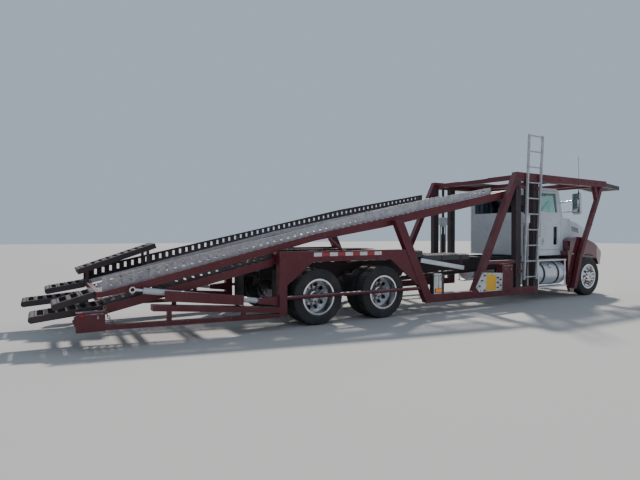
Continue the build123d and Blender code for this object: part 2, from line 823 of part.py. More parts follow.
# Fuel tanks hung beside the frame, with a step plate above and below
tank_x = (3330.0, 4430.0)
tank_radius = 275.0
tank_y = 890.0
tank_z = 590.0
with BuildPart() as fuel_tanks:
    for name, side in sides:
        add_rod((tank_x[0], side * tank_y, tank_z), (tank_x[1], side * tank_y, tank_z), tank_radius)
        add_block(tank_x[0], tank_x[1] + 20, side * 800, side * 1160, 885, 915)
        add_block(tank_x[0], tank_x[1] + 20, side * 960, side * 1180, 275, 305)
        for x in (tank_x[0] + 60, tank_x[1] - 60):
            add_block(x - 20, x + 20, side * rail_y, side * (tank_y - 60), 870, 885)
            add_block(x - 20, x + 20, side * 1166, side * 1180, 305, 885)
write(fuel_tanks.part, "fuel_tanks")


# Side frames: low sills, leaning posts and masts, all flat to the outer faces
lean_rear_slope = (lean_rear_top_x - lean_rear_foot_x) / (lean_rear_top - sill_bottom)
sill_top = sill_bottom + sill_depth


def lean_rear_at(z):
    """The rear edge of the rear leaning post at a height."""
    return lean_rear_foot_x + lean_rear_slope * (z - sill_bottom)


def lean_front_at(z):
    """The rear edge of the front leaning post at a height."""
    return lean_front_foot_x + lean_front_slope * (z - sill_top)


with BuildPart() as side_frames:
    for name, side in sides:
        add_outline(
            [
                (lean_rear_at(sill_bottom) + lean_width, sill_bottom),
                (sill_front_x, sill_bottom),
                (sill_front_x, sill_top),
                (lean_rear_at(sill_top) + lean_width, sill_top),
            ],
            side * inner_y, side * outer_y,
        )
        waist_rear = lean_front_at(waist_rail_z) + lean_front_width
        add_outline(
            [
                (waist_rear, waist_rail_z),
                (mast_xs[0], waist_rail_z),
                (mast_xs[0], waist_rail_z - waist_rail_depth),
                (lean_front_at(waist_rail_z - waist_rail_depth) + lean_front_width,
                 waist_rail_z - waist_rail_depth),
            ],
            side * (inner_y + 30), side * (outer_y - 10),
        )
        add_lean(
            lean_rear_foot_x, sill_bottom, lean_rear_top_x, lean_rear_top, lean_width,
            side * inner_y, side * outer_y,
        )
        corner_z = sill_top + (mast_xs[0] - lean_front_foot_x - lean_front_width) / lean_front_slope
        add_outline(
            [
                (lean_front_foot_x, sill_top),
                (lean_front_foot_x + lean_front_width, sill_top),
                (mast_xs[0], corner_z),
                (mast_xs[0], rack_bottom),
                (lean_front_at(rack_bottom), rack_bottom),
            ],
            side * inner_y, side * outer_y,
        )
write(side_frames.part, "side_frames")

mast_mid_x = (mast_xs[0] + mast_size + mast_xs[1]) / 2
with BuildPart() as masts:
    for name, side in sides:
        for x in mast_xs:
            add_block(x, x + mast_size, side * inner_y, side * outer_y, sill_top, rack_bottom)
        cylinder_y = side * (inner_y + outer_y) / 2
        add_rod((mast_mid_x, cylinder_y, sill_top), (mast_mid_x, cylinder_y, 1500), 50)
        add_rod((mast_mid_x, cylinder_y, 1500), (mast_mid_x, cylinder_y, rack_bottom), 32)
write(masts.part, "masts")

# Tandem frames: a beam over the drive wheels, its rear post and two corner gussets
with BuildPart() as tandem_frames:
    for name, side in sides:
        beam_bottom = tandem_top - tandem_depth
        add_block(
            tandem_rear_x, tandem_front_x, side * inner_y, side * outer_y, beam_bottom, tandem_top,
        )
        add_block(
            tandem_rear_x, tandem_rear_x + tandem_post, side * inner_y, side * outer_y,
            tandem_foot, beam_bottom,
        )
        inner_post = tandem_rear_x + tandem_post
        add_outline(
            [
                (inner_post - 1, beam_bottom + 1), (inner_post + gusset_run, beam_bottom + 1),
                (inner_post - 1, beam_bottom - gusset_drop),
            ],
            side * (outer_y - 30), side * outer_y,
        )
        gusset_foot = 520.0
        add_outline(
            [
                (tandem_front_x - 1, tandem_top), (lean_rear_at(tandem_top), tandem_top),
                (lean_rear_at(gusset_foot), gusset_foot), (tandem_front_x - 1, beam_bottom),
            ],
            side * (outer_y - 60), side * (outer_y - 10),
        )
        rod_y = side * (outer_y - 22 - side_rod_radius / 2)
        add_rod(
            (tandem_rear_x + tandem_post - 20, rod_y, side_rod_z),
            (lean_rear_at(side_rod_z + side_rod_radius), rod_y, side_rod_z),
            side_rod_radius,
        )
write(tandem_frames.part, "tandem_frames")

# Head rack: side beams, a tapering nose, cross tubes, treads and its front posts
rack_cross_xs = (2560.0, 3900.0, 5200.0)
with BuildPart() as head_rack_frame:
    for name, side in sides:
        add_outline(
            [
                (lean_front_at(rack_bottom), rack_bottom),
                (lean_front_at(rack_bottom + rack_depth), rack_bottom + rack_depth),
                (rack_front_x, rack_bottom + rack_depth - 20),
                (rack_front_x, rack_bottom),
            ],
            side * inner_y, side * outer_y,
        )
    for x in rack_cross_xs:
        add_block(x, x + 90, -inner_y, inner_y, rack_bottom + 20, rack_bottom + 110)
    add_block(rack_front_x - 90, rack_front_x, -inner_y, inner_y, rack_bottom + 20, rack_bottom + 110)
write(head_rack_frame.part, "head_rack_frame")

with BuildPart() as head_rack_treads:
    for name, side in sides:
        add_runway(
            (rack_cross_xs[0], rack_bottom + 122), (rack_front_x, rack_bottom + 122),
            side * rack_tread_y[0], side * rack_tread_y[1], 11,
        )
        add_runway(
            (rack_front_x + 12, rack_bottom + 122), (rack_nose_x, rack_nose_top),
            side * (rack_tread_y[0] + 100), side * (rack_tread_y[1] + 100), 95,
        )
        add_block(
            rack_front_x - 2, rack_front_x + 25, side * (rack_tread_y[0] + 110), side * rack_tread_y[1],
            rack_bottom + 111, rack_bottom + 122,
        )
write(head_rack_treads.part, "head_rack_treads")

rack_post = [(4660.0, 215.0), (4885.0, 940.0), (5085.0, 1370.0), (5590.0, 2340.0), (5730.0, rack_bottom)]
with BuildPart() as head_rack_posts:
    half_post = rack_post_width / 2
    for name, side in sides:
        front_edge = [(x + half_post, z) for x, z in rack_post]
        rear_edge = [(x - half_post, z) for x, z in reversed(rack_post)]
        add_outline(front_edge + rear_edge, side * inner_y, side * (outer_y - 30))
        add_lean(
            rack_post[3][0] - half_post, rack_post[3][1], rack_post[3][0] - 160, rack_bottom, 70,
            side * inner_y, side * (outer_y - 30),
        )
write(head_rack_posts.part, "head_rack_posts")

# Access ladder on the right side, leaning a little forwards above the rack
ladder_y = (-1350.0, -1310.0)
ladder_bottom = 520.0
ladder_top = 3660.0
ladder_rail = 45.0
ladder_rails = ((2660.0, 2820.0), (3070.0, 3280.0))
rung_pitch = 340.0
rung_radius = 16.0
with BuildPart() as ladder:
    for foot, top in ladder_rails:
        add_lean(foot, ladder_bottom, top, ladder_top, ladder_rail, *ladder_y)
    rung_z = ladder_top - 25
    while rung_z > ladder_bottom:
        share = (rung_z - ladder_bottom) / (ladder_top - ladder_bottom)
        rung_ends = [foot + share * (top - foot) + ladder_rail / 2 for foot, top in ladder_rails]
        rung_y = (ladder_y[0] + ladder_y[1]) / 2
        add_rod((rung_ends[0], rung_y, rung_z), (rung_ends[1], rung_y, rung_z), rung_radius)
        rung_z -= rung_pitch
write(ladder.part, "ladder")


# Upper deck: two side beams with a slight bend, cross tubes and a pair of slotted treads
def deck_top_at(x):
    """The height of the deck beams' top edge."""
    if x < deck_beam_kink[0]:
        return on_line(deck_beam_rear, deck_beam_kink, x)
    return on_line(deck_beam_kink, deck_beam_front, x)


with BuildPart() as upper_deck_frame:
    for name, side in sides:
        inner, outer = side * (deck_y - deck_beam_width), side * deck_y
        add_slab(deck_beam_rear, deck_beam_kink, deck_rear_depth, inner, outer)
        add_outline(
            [
                deck_beam_kink,
                deck_beam_front,
                (deck_beam_front[0], deck_beam_front[1] - deck_front_depth),
                (deck_beam_kink[0] + 1400, deck_top_at(deck_beam_kink[0] + 1400) - deck_front_depth),
                (deck_beam_kink[0], deck_beam_kink[1] - deck_rear_depth),
            ],
            inner, outer,
        )
        add_outline(
            [
                deck_beam_rear,
                (deck_beam_rear[0], deck_beam_rear[1] - deck_rear_depth),
                (deck_tail_x, deck_tail_z - 70),
                (deck_tail_x, deck_tail_z),
            ],
            inner, outer,
        )
        with Locations((deck_pivot[0], side * (deck_y - deck_beam_width / 2), deck_pivot[1])):
            Cylinder(
                deck_pin_radius + running_gap, deck_beam_width + 4, rotation=(90, 0, 0),
                mode=Mode.SUBTRACT,
            )
        add_rod(
            (lift_eye[0], side * (deck_y - 5), lift_eye[1]),
            (lift_eye[0], side * (lift_y - 30), lift_eye[1]), 30,
        )
    deck_inside_y = deck_y - deck_beam_width + 5
    add_block(
        deck_tail_x - 70, deck_tail_x, -deck_y, deck_y, deck_tail_z - 70, deck_tail_z,
    )
    for x in (-4700, -3700, -2600, -1500, -400, 700, 1700):
        top = deck_top_at(x) - tread_plate - 30
        add_outline(
            [
                (x, top), (x + cross_size, top + 0.2 * cross_size),
                (x + cross_size, top + 0.2 * cross_size - 70), (x, top - 70),
            ],
            -deck_inside_y, deck_inside_y,
        )
write(upper_deck_frame.part, "upper_deck_frame")

# The deck's two slotted runways, each with a low inner lip and a tall slotted outer guard
with BuildPart() as upper_deck_treads:
    tread_line = [
        (x, deck_top_at(x) - 5) for x in (tread_rear_x, deck_beam_kink[0], guard_step_x, tread_front_x)
    ]
    guard_heights = (guard_rear_height, guard_kink_height, guard_front_height, guard_front_height)
    for name, side in sides:
        near, far = side * tread_y[0], side * tread_y[1]
        for start, end in ((tread_line[0], tread_line[1]), (tread_line[1], tread_line[3])):
            add_runway(start, end, near, far, tread_plate)
            lip = ((start[0], start[1] + tread_flange), (end[0], end[1] + tread_flange))
            add_slab(*lip, tread_flange + tread_plate, near, near + side * tread_plate)
        add_guard(
            [(x, z - tread_plate) for x, z in tread_line],
            [rise + tread_plate + 5 for rise in guard_heights],
            far - side * tread_plate, far,
        )
write(upper_deck_treads.part, "upper_deck_treads")

# A loose skid carried over the deck's tail on two feet
with BuildPart() as deck_skids:
    add_runway(skid_rear, skid_front, *skid_y, ramp_thickness)
    for x, rest in ((deck_tail_x - 60, deck_tail_z + 1), (-4730.0, deck_top_at(-4730.0) + 6)):
        slab_under = on_line(skid_rear, skid_front, x) - ramp_thickness + 10
        for y in (skid_y[0] + 5, skid_y[1] - slot_edge + 5):
            add_block(x, x + 40, y, y + slot_edge - 10, rest, slab_under)
write(deck_skids.part, "deck_skids")

# Loading ramps at the tails of both decks, slotted like the treads and with a pipe across the tip
for name, side in sides:
    for level, root, tips in (
        ("upper", upper_ramp_root, upper_ramp_tips), ("lower", lower_ramp_root, lower_ramp_tips),
    ):
        pipe = ramp_thickness / 2
        tip_x, tip_z = tips[name]
        end = (tip_x + pipe, on_line(root, tips[name], tip_x + pipe))
        with BuildPart() as ramp:
            corners = [root, end, (end[0], end[1] - ramp_thickness), (root[0], root[1] - ramp_thickness)]
            for y_from, y_to in ((ramp_y[0], ramp_y[0] + 45), (ramp_y[1] - 45, ramp_y[1])):
                add_outline(corners, side * y_from, side * y_to)
            run = root[0] - end[0]
            rungs = int(run / slot_pitch)
            for step in range(rungs + 1):
                x = root[0] - step * (run - slot_width) / rungs
                top = [(x, on_line(root, end, x)), (x - slot_width, on_line(root, end, x - slot_width))]
                drop = [(px, pz - ramp_thickness * 0.8) for px, pz in reversed(top)]
                add_outline(top + drop, side * (ramp_y[0] + 44), side * (ramp_y[1] - 44))
            add_rod(
                (end[0], side * (ramp_y[0] - 8), end[1] - pipe),
                (end[0], side * (ramp_y[1] + 8), end[1] - pipe), pipe,
            )
        write(ramp.part, f"{level}_ramp_{name}")

# Lower deck: level over the tandem, lower behind the cab, sloping down to the tail
with BuildPart() as lower_deck_frame:
    for name, side in sides:
        inner, outer = side * (lower_y - lower_beam_width), side * lower_y
        add_slab(lower_rear_start, lower_rear_end, lower_depth, inner, outer)
        add_block(
            lower_rear_start[0] + 5, lower_front_x - 1250, inner, outer,
            lower_tandem_z - 130, lower_tandem_z - 10,
        )
        add_block(
            lower_front_x - 1240, lower_front_x, inner, outer, lower_front_z - 110, lower_front_z - 10,
        )
    lower_inside = lower_y - lower_beam_width
    for x in (-2940, -1680, -140):
        add_block(x, x + 80, -lower_inside, lower_inside, 1000, lower_tandem_z - 20)
    for x in (300, 1100):
        add_block(x, x + 80, -lower_inside, lower_inside, 1000, lower_front_z - 20)
    for share in (0.004, 0.4, 0.765):
        x = lower_rear_end[0] + share * (lower_rear_start[0] - lower_rear_end[0])
        top = on_line(lower_rear_start, lower_rear_end, x) - 15
        add_block(x, x + 80, -lower_inside, lower_inside, top - 80, top)
write(lower_deck_frame.part, "lower_deck_frame")

with BuildPart() as lower_deck_treads:
    slope_rear = (lower_rear_end[0], lower_rear_end[1] + 5)
    slope_front = (lower_rear_start[0], lower_rear_start[1] + 5)
    level_rear = (lower_rear_start[0] + 5, lower_tandem_z)
    level_front = (lower_front_x - 1250, lower_tandem_z)
    low_rear = (lower_front_x - 1240, lower_front_z)
    low_front = (lower_front_x, lower_front_z)
    for name, side in sides:
        near, far = side * tread_y[0], side * (lower_inside - 4)
        for start, end in ((slope_rear, slope_front), (level_rear, level_front), (low_rear, low_front)):
            add_runway(start, end, near, far, tread_plate)
        add_guard(
            [slope_rear, slope_front], [lower_guard_height, lower_guard_height],
            far - side * tread_plate, far,
        )
write(lower_deck_treads.part, "lower_deck_treads")

# Rear frame under the deck's tail: channel guard, lower beam, bottom sill, struts and brace
guard_rear = ((-4825.0, 720.0), (-3685.0, 580.0))
guard_depth = 145.0
low_beam = ((-4985.0, 530.0), (-3095.0, 360.0))
low_beam_depth = 80.0
bottom_sill = ((-5574.0, 317.0), (-3095.0, 262.0))
bottom_sill_depth = 65.0
with BuildPart() as rear_frame:
    for name, side in sides:
        add_slab(*guard_rear, guard_depth, side * (outer_y - 20), side * outer_y)
        add_slab(
            (guard_rear[0][0], guard_rear[0][1] - guard_depth + 15),
            (guard_rear[1][0], guard_rear[1][1] - guard_depth + 15),
            15, side * (lower_y + 10), side * outer_y,
        )
        add_slab(*low_beam, low_beam_depth, side * (lower_y + 10), side * outer_y)
        add_slab(*bottom_sill, bottom_sill_depth, side * (inner_y + 20), side * (outer_y - 10))
        for x in (-4790, -3700):
            foot = on_line(*bottom_sill, x)
            head = on_line(*low_beam, x) - low_beam_depth + 5
            add_block(x, x + 60, side * (inner_y + 30), side * (outer_y - 20), foot - 10, head)
        add_block(-4700, -4640, side * (lower_y + 12), side * (lower_y + 50), 430, 600)
        add_block(-3760, -3700, side * (lower_y + 12), side * (lower_y + 50), 350, 480)
write(rear_frame.part, "rear_frame")

# Lift cylinders: the barrel swings on its foot and the rod slides out to lift the deck's tail
lift_length = math.hypot(lift_eye[0] - lift_foot[0], lift_eye[1] - lift_foot[1])
for name, side in sides:
    y = side * lift_y
    barrel_end = between(lift_foot, lift_eye, lift_barrel_end)
    rod_start = between(lift_foot, lift_eye, lift_rod_start)
    foot_end = between(lift_foot, lift_eye, 0.04)
    with BuildPart() as lift_barrel:
        add_rod((foot_end[0], y, foot_end[1]), (barrel_end[0], y, barrel_end[1]), lift_barrel_radius)
        neck = between(lift_foot, lift_eye, 0.018)
        add_rod((neck[0], y, neck[1]), (foot_end[0] - 10, y, foot_end[1] + 1.5), 24)
        add_rod(
            (rod_start[0], y, rod_start[1]), (lift_eye[0], y, lift_eye[1]), lift_rod_radius + 1,
            Mode.SUBTRACT,
        )
        with Locations((lift_foot[0], y, lift_foot[1])):
            Cylinder(48, 56, rotation=(90, 0, 0))
            Cylinder(26, 60, rotation=(90, 0, 0), mode=Mode.SUBTRACT)
    write(lift_barrel.part, f"lift_barrel_{name}")
    rod_inner = between(lift_foot, lift_eye, lift_rod_start + 0.02)
    rod_outer = between(lift_foot, lift_eye, 0.985)
    with BuildPart() as lift_rod:
        add_rod((rod_inner[0], y, rod_inner[1]), (rod_outer[0], y, rod_outer[1]), lift_rod_radius)
        with Locations((lift_eye[0], y, lift_eye[1])):
            Cylinder(42, 50, rotation=(90, 0, 0))
            Cylinder(26, 60, rotation=(90, 0, 0), mode=Mode.SUBTRACT)
    write(lift_rod.part, f"lift_rod_{name}")

# Brackets: the upper deck's front pivots, the lift cylinders' feet and the ladder's hangers
with BuildPart() as brackets:
    for name, side in sides:
        add_outline(
            [
                (deck_pivot[0] - 90, deck_pivot[1] - 60), (deck_pivot[0] - 60, deck_pivot[1] + 70),
                (mast_xs[0] + 60, deck_pivot[1] + 90), (mast_xs[0] + 60, deck_pivot[1] - 120),
            ],
            side * (deck_y + 4), side * inner_y,
        )
        add_rod(
            (deck_pivot[0], side * (deck_y + 4), deck_pivot[1]),
            (deck_pivot[0], side * (deck_y - deck_beam_width - 10), deck_pivot[1]),
            deck_pin_radius,
        )
        for y_from, y_to in ((lift_y - 42, lift_y - 30), (lift_y + 30, lift_y + 42)):
            add_outline(
                [
                    (lift_foot[0] - 50, lift_foot[1] + 40), (tandem_rear_x, lift_foot[1] + 60),
                    (tandem_rear_x, lift_foot[1] - 80), (lift_foot[0] - 50, lift_foot[1] - 40),
                ],
                side * y_from, side * y_to,
            )
        add_rod(
            (lift_foot[0], side * (lift_y - 42), lift_foot[1]),
            (lift_foot[0], side * (lift_y + 42), lift_foot[1]), 25,
        )
    for z in (700.0, 2500.0):
        share = (z - ladder_bottom) / (ladder_top - ladder_bottom)
        for foot, top in ladder_rails:
            x = foot + share * (top - foot)
            mast_x = mast_xs[0] if foot < mast_mid_x else mast_xs[1]
            add_block(min(x, mast_x + 60), x + ladder_rail, -outer_y, ladder_y[1], z - 30, z + 30)
write(brackets.part, "brackets")

# Boxes and panels on the sides: tool boxes at the tail, service boxes and the valve panel
with BuildPart() as side_boxes:
    for name, side in sides:
        add_block(-5915, -5575, side * (inner_y - 30), side * (outer_y - 5), 245, 500)
        add_block(120, 400, side * (inner_y + 5), side * (outer_y - 20), sill_top, 740)
        add_block(-5935, -5915, side * 1170, side * 1270, 330, 440)
        add_block(2060, 2400, side * (inner_y - 40), side * (outer_y - 15), sill_top, 870)
    add_outline(
        [(1345, 330), (1245, 430), (1435, 720), (2035, 690), (2015, 330)],
        -outer_y - 12, -outer_y,
    )
write(side_boxes.part, "side_boxes")

with BuildPart() as mudflaps:
    for name, side in sides:
        add_block(-2930, -2915, side * 640, side * 1150, 260, 900)
write(mudflaps.part, "mudflaps")
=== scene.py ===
# %% [markdown]
# # Dressing a car transporter truck
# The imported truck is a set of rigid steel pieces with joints. This lesson gives each of them the
# finish that a working truck has, and adds the small things that a fitter would add last:
# tyre tread, wheel nuts, bolts, lamps, tape, chain, handles and padded seats.
# Everything is in metres: +X runs forwards to the hood, +Y to the truck's left, and +Z up.

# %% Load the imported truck
import math

import bmesh
import bpy
from mathutils import Matrix, Vector
from mathutils.bvhtree import BVHTree


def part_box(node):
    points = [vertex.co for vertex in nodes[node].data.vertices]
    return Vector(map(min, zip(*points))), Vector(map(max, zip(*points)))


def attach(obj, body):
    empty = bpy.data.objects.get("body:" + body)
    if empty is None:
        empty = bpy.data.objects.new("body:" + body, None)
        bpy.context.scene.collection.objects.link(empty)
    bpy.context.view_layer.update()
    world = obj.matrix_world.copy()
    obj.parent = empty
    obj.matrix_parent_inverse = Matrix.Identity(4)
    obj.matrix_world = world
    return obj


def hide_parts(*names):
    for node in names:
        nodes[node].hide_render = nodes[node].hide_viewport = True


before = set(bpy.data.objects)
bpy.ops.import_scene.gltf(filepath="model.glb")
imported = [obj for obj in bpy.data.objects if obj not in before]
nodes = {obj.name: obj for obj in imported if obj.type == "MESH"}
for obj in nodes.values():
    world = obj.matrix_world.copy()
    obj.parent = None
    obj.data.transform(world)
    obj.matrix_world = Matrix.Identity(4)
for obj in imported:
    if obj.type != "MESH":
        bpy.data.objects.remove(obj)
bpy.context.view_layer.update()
sides = (("left", 1.0), ("right", -1.0))
print("CAD pieces:", len(nodes))

# %% [markdown]
# ## The viewpoint
# The photograph was taken from behind the truck on its right side, at chest height. Its wide lens
# makes the tail large and the cab small, so the camera's distance matters as much as its angle. The
# place below was found by fitting known points of the truck, such as hubs and posts.

# %% Place the camera
def add_object(name, data):
    """A new object at the origin of the scene."""
    made = bpy.data.objects.new(name, data)
    bpy.context.scene.collection.objects.link(made)
    return made


camera_data = bpy.data.cameras.new("photo_camera")
camera_data.sensor_width = 36.0
camera_data.lens = 27.07
camera_data.clip_end = 200.0
camera = add_object("photo_camera", camera_data)
camera.location = (-6.320, -8.024, 1.485)
yaw, pitch = math.radians(30.38), math.radians(-0.62)
looking = Vector((math.sin(yaw) * math.cos(pitch), math.cos(yaw) * math.cos(pitch), math.sin(pitch)))
camera.rotation_euler = looking.to_track_quat("-Z", "Y").to_euler()
bpy.context.scene.camera = camera
print("camera at", tuple(round(v, 3) for v in camera.location))

# %% [markdown]
# ## Floor and light
# A pale floor and a pale sky-like surround keep attention on the truck. One broad sun comes from
# ahead and from the far side, so the near side is in open shade, and a large soft area light keeps
# that shaded side readable.

# %% Lay the floor and hang the lights
floor_reach = 80
floor_mesh = bpy.data.meshes.new("floor")
floor_mesh.from_pydata([(x * floor_reach, y * floor_reach, 0) for x, y in ((-1, -1), (1, -1), (1, 1), (-1, 1))],
                       [], [(0, 1, 2, 3)])
floor = add_object("floor", floor_mesh)
floor_paint = bpy.data.materials.new("floor_paint")
floor_paint.use_nodes = True
floor_shader = floor_paint.node_tree.nodes["Principled BSDF"]
floor_shader.inputs["Base Color"].default_value = (0.47, 0.455, 0.44, 1)
floor_shader.inputs["Roughness"].default_value = 0.9
floor_mesh.materials.append(floor_paint)

world = bpy.data.worlds.new("surround")
bpy.context.scene.world = world
world.use_nodes = True
world.node_tree.nodes["Background"].inputs["Color"].default_value = (0.70, 0.83, 1.0, 1)
world.node_tree.nodes["Background"].inputs["Strength"].default_value = 0.58


def add_light(name, kind, place, target, strength, size, colour):
    """A light at a place, turned to a target."""
    data = bpy.data.lights.new(name, kind)
    data.energy = strength
    data.color = colour
    if kind == "SUN":
        data.angle = math.radians(size)
    else:
        data.size = size
    light = add_object(name, data)
    light.location = place
    light.rotation_euler = (Vector(target) - Vector(place)).to_track_quat("-Z", "Y").to_euler()
    return light


add_light("broad_sun", "SUN", (8, 9, 12), (0, 0, 1), 4.2, 4.0, (1.0, 0.95, 0.88))
add_light("near_side_fill", "AREA", (-4, -14, 8), (0, 0, 1.2), 60.0, 9.0, (0.95, 0.98, 1.0))

# %% [markdown]
# ## Reading a surface as layers
# Paint on a working truck is never one colour. There is the paint with its fading, then dust that
# settles on faces that look up, road film near the ground, and rust where the paint has gone. Each
# layer is a mask that mixes one more colour in. The helpers below make the masks from the object's
# own coordinates, so the finish stays on the truck whatever the camera does.


# %% Shader helpers
def fill(tree, node, inputs):
    """Gives sockets of a node their values, or a link where the value is another node's output."""
    for key, value in inputs.items():
        if isinstance(value, bpy.types.NodeSocket):
            tree.links.new(value, node.inputs[key])
        else:
            node.inputs[key].default_value = value


def add_node(tree, kind, inputs=None, **settings):
    """A node with its settings and its inputs."""
    node = tree.nodes.new(kind)
    for key, value in settings.items():
        setattr(node, key, value)
    fill(tree, node, inputs or {})
    return node


def start_material(name):
    """A new material with its tree and its main shader."""
    material = bpy.data.materials.new(name)
    material.use_nodes = True
    return material, material.node_tree, material.node_tree.nodes["Principled BSDF"]


def coordinates(tree, scale=(1.0, 1.0, 1.0)):
    """The object's own coordinates, stretched by a scale."""
    place = add_node(tree, "ShaderNodeTexCoord").outputs["Object"]
    return add_node(tree, "ShaderNodeMapping", {"Vector": place, "Scale": scale}).outputs["Vector"]


def noise(tree, vector, scale, detail=4.0, roughness=0.6):
    """Cloudy values from 0 to 1."""
    inputs = {"Vector": vector, "Scale": scale, "Detail": detail, "Roughness": roughness}
    return add_node(tree, "ShaderNodeTexNoise", inputs).outputs[0]


def spread(tree, value, low, high, out_low=0.0, out_high=1.0):
    """A value between low and high, moved to another range and clamped there."""
    inputs = {"Value": value, "From Min": low, "From Max": high, "To Min": out_low, "To Max": out_high}
    return add_node(tree, "ShaderNodeMapRange", inputs).outputs["Result"]


def combine(tree, operation, first, second):
    """Arithmetic on two values, each a socket or a number."""
    return add_node(tree, "ShaderNodeMath", {0: first, 1: second}, operation=operation).outputs[0]


def times(tree, first, second):
    """The product of two values."""
    return combine(tree, "MULTIPLY", first, second)


def blend_colours(tree, mask, first, second):
    """The first colour where the mask is 0, the second where it is 1."""
    first, second = ((*colour, 1.0) if isinstance(colour, tuple) else colour for colour in (first, second))
    return add_node(tree, "ShaderNodeMix", {0: mask, 6: first, 7: second}, data_type="RGBA").outputs[2]


def axis_value(tree, axis):
    """One of the object's coordinates, in metres."""
    return add_node(tree, "ShaderNodeSeparateXYZ", {0: coordinates(tree)}).outputs[axis]


def facing_up(tree):
    """1 on faces that look up, 0 on walls and undersides."""
    normal = add_node(tree, "ShaderNodeNewGeometry").outputs["Normal"]
    return spread(tree, add_node(tree, "ShaderNodeSeparateXYZ", {0: normal}).outputs["Z"], 0.25, 0.9)


def add_bump(tree, shader, height, strength, distance):
    """Relief from a height mask."""
    bump = add_node(tree, "ShaderNodeBump", {"Strength": strength, "Distance": distance, "Height": height})
    fill(tree, shader, {"Normal": bump.outputs["Normal"]})


def worn_edges(tree, radius):
    """1 along sharp edges, where paint rubs off first."""
    normal = add_node(tree, "ShaderNodeNewGeometry").outputs["Normal"]
    rounded = add_node(tree, "ShaderNodeBevel", {"Radius": radius}, samples=4).outputs["Normal"]
    dot = add_node(tree, "ShaderNodeVectorMath", {0: normal, 1: rounded}, operation="DOT_PRODUCT")
    return spread(tree, dot.outputs["Value"], 0.98, 0.80)


def layered_paint(name, paint, faded, dust_and_highlight, dust_and_highlight_share, rust_share, roughness, coat,
                  edge=None, film_colour=None, coat_roughness=0.12):
    """Paint with fading, dust on top faces (on the gloss maroon also a painted highlight), road film low down, rust
    spots and rubbed edges.
    """
    material, tree, shader = start_material(name)
    place = coordinates(tree)
    colour = blend_colours(tree, spread(tree, noise(tree, place, 1.3), 0.35, 0.68), paint, faded)
    if edge:
        rub = times(tree, worn_edges(tree, 0.012), spread(tree, noise(tree, place, 7.0), 0.38, 0.62))
        colour = blend_colours(tree, rub, colour, edge)
    streaks = noise(tree, coordinates(tree, (9.0, 9.0, 0.9)), 1.0, 6.0)
    film = times(tree, spread(tree, axis_value(tree, "Z"), 1.1, 0.15), spread(tree, streaks, 0.3, 0.75))
    colour = blend_colours(tree, times(tree, film, 0.6), colour, film_colour or dust_and_highlight)
    # The top-face layer is dust, and on the gloss maroon it is also a painted highlight for the sky's reflection.
    settled = times(tree, facing_up(tree), spread(tree, noise(tree, place, 3.1, 7.0), 0.22, 0.62))
    settled = times(tree, settled, dust_and_highlight_share)
    colour = blend_colours(tree, settled, colour, dust_and_highlight)
    spots = spread(tree, noise(tree, place, 17.0, 9.0, 0.7), 0.60, 0.70)
    colour = blend_colours(tree, times(tree, spots, rust_share), colour, (0.105, 0.042, 0.022))
    gloss = spread(tree, noise(tree, place, 5.0, 8.0), 0.3, 0.7, roughness - 0.10, roughness + 0.16)
    fill(tree, shader, {"Base Color": colour, "Roughness": gloss})
    fill(tree, shader, {"Coat Weight": coat, "Coat Roughness": coat_roughness})
    add_bump(tree, shader, noise(tree, place, 55.0, 5.0), 0.25, 0.0016)
    return material


# %% [markdown]
# ## Bare metal, rubber and glass
# Metals differ mostly in roughness. Zinc has a crystal spangle, polished wheels carry a brown film
# from the brakes, and plated parts are nearly mirrors. Rubber is dark, dull and finely pitted.


# %% Metal helpers
def bare_metal(name, colour, film, film_share, roughness, spangle=0.0, scale=3.0, dirty=None, metallic=1.0):
    """Metal with a dirty film, and zinc crystals if spangle is set. dirty is (axis, clean, dirty place)."""
    material, tree, shader = start_material(name)
    place = coordinates(tree)
    duller = tuple(c * 0.82 for c in colour)
    tone = blend_colours(tree, spread(tree, noise(tree, place, scale), 0.3, 0.7), colour, duller)
    if spangle:
        crystals = add_node(tree, "ShaderNodeTexVoronoi", {"Scale": 46.0, "Vector": place})
        grey = add_node(tree, "ShaderNodeSeparateColor", {0: crystals.outputs["Color"]}).outputs[0]
        bright = tuple(min(1.0, c * 1.35) for c in colour)
        tone = blend_colours(tree, times(tree, grey, spangle), tone, bright)
    dirt = times(tree, spread(tree, noise(tree, place, 11.0, 8.0, 0.7), 0.42, 0.66), film_share)
    if dirty:
        far = axis_value(tree, dirty[0])
        if dirty[0] == "Y":
            far = combine(tree, "ABSOLUTE", far, 0.0)
        patches = spread(tree, noise(tree, place, 23.0, 8.0, 0.7), 0.25, 0.60)
        soiled = times(tree, spread(tree, far, dirty[1], dirty[2]), patches)
        dirt = combine(tree, "MAXIMUM", dirt, times(tree, soiled, 0.55))
    gloss = spread(tree, noise(tree, place, 8.0, 6.0), 0.3, 0.7, roughness * 0.7, roughness * 1.4)
    gloss = combine(tree, "ADD", gloss, times(tree, dirt, 0.45))
    fill(tree, shader, {"Base Color": blend_colours(tree, dirt, tone, film), "Roughness": gloss, "Metallic": metallic})
    add_bump(tree, shader, noise(tree, place, 90.0, 3.0), 0.12, 0.0008)
    return material


def dull_solid(name, colour, second, roughness, grain, relief, sheen=0.0):
    """Rubber, plastic or plain dull paint: two near colours, a fine grain and dust on top."""
    material, tree, shader = start_material(name)
    place = coordinates(tree)
    tone = blend_colours(tree, spread(tree, noise(tree, place, 4.0, 7.0), 0.35, 0.7), colour, second)
    settled = times(tree, facing_up(tree), 0.25)
    tone = blend_colours(tree, settled, tone, (0.30, 0.27, 0.24))
    gloss = spread(tree, noise(tree, place, 9.0), 0.3, 0.7, roughness - 0.07, roughness + 0.07)
    fill(tree, shader, {"Base Color": tone, "Roughness": gloss, "Sheen Weight": sheen})
    add_bump(tree, shader, noise(tree, place, grain, 4.0), 0.35, relief)
    return material


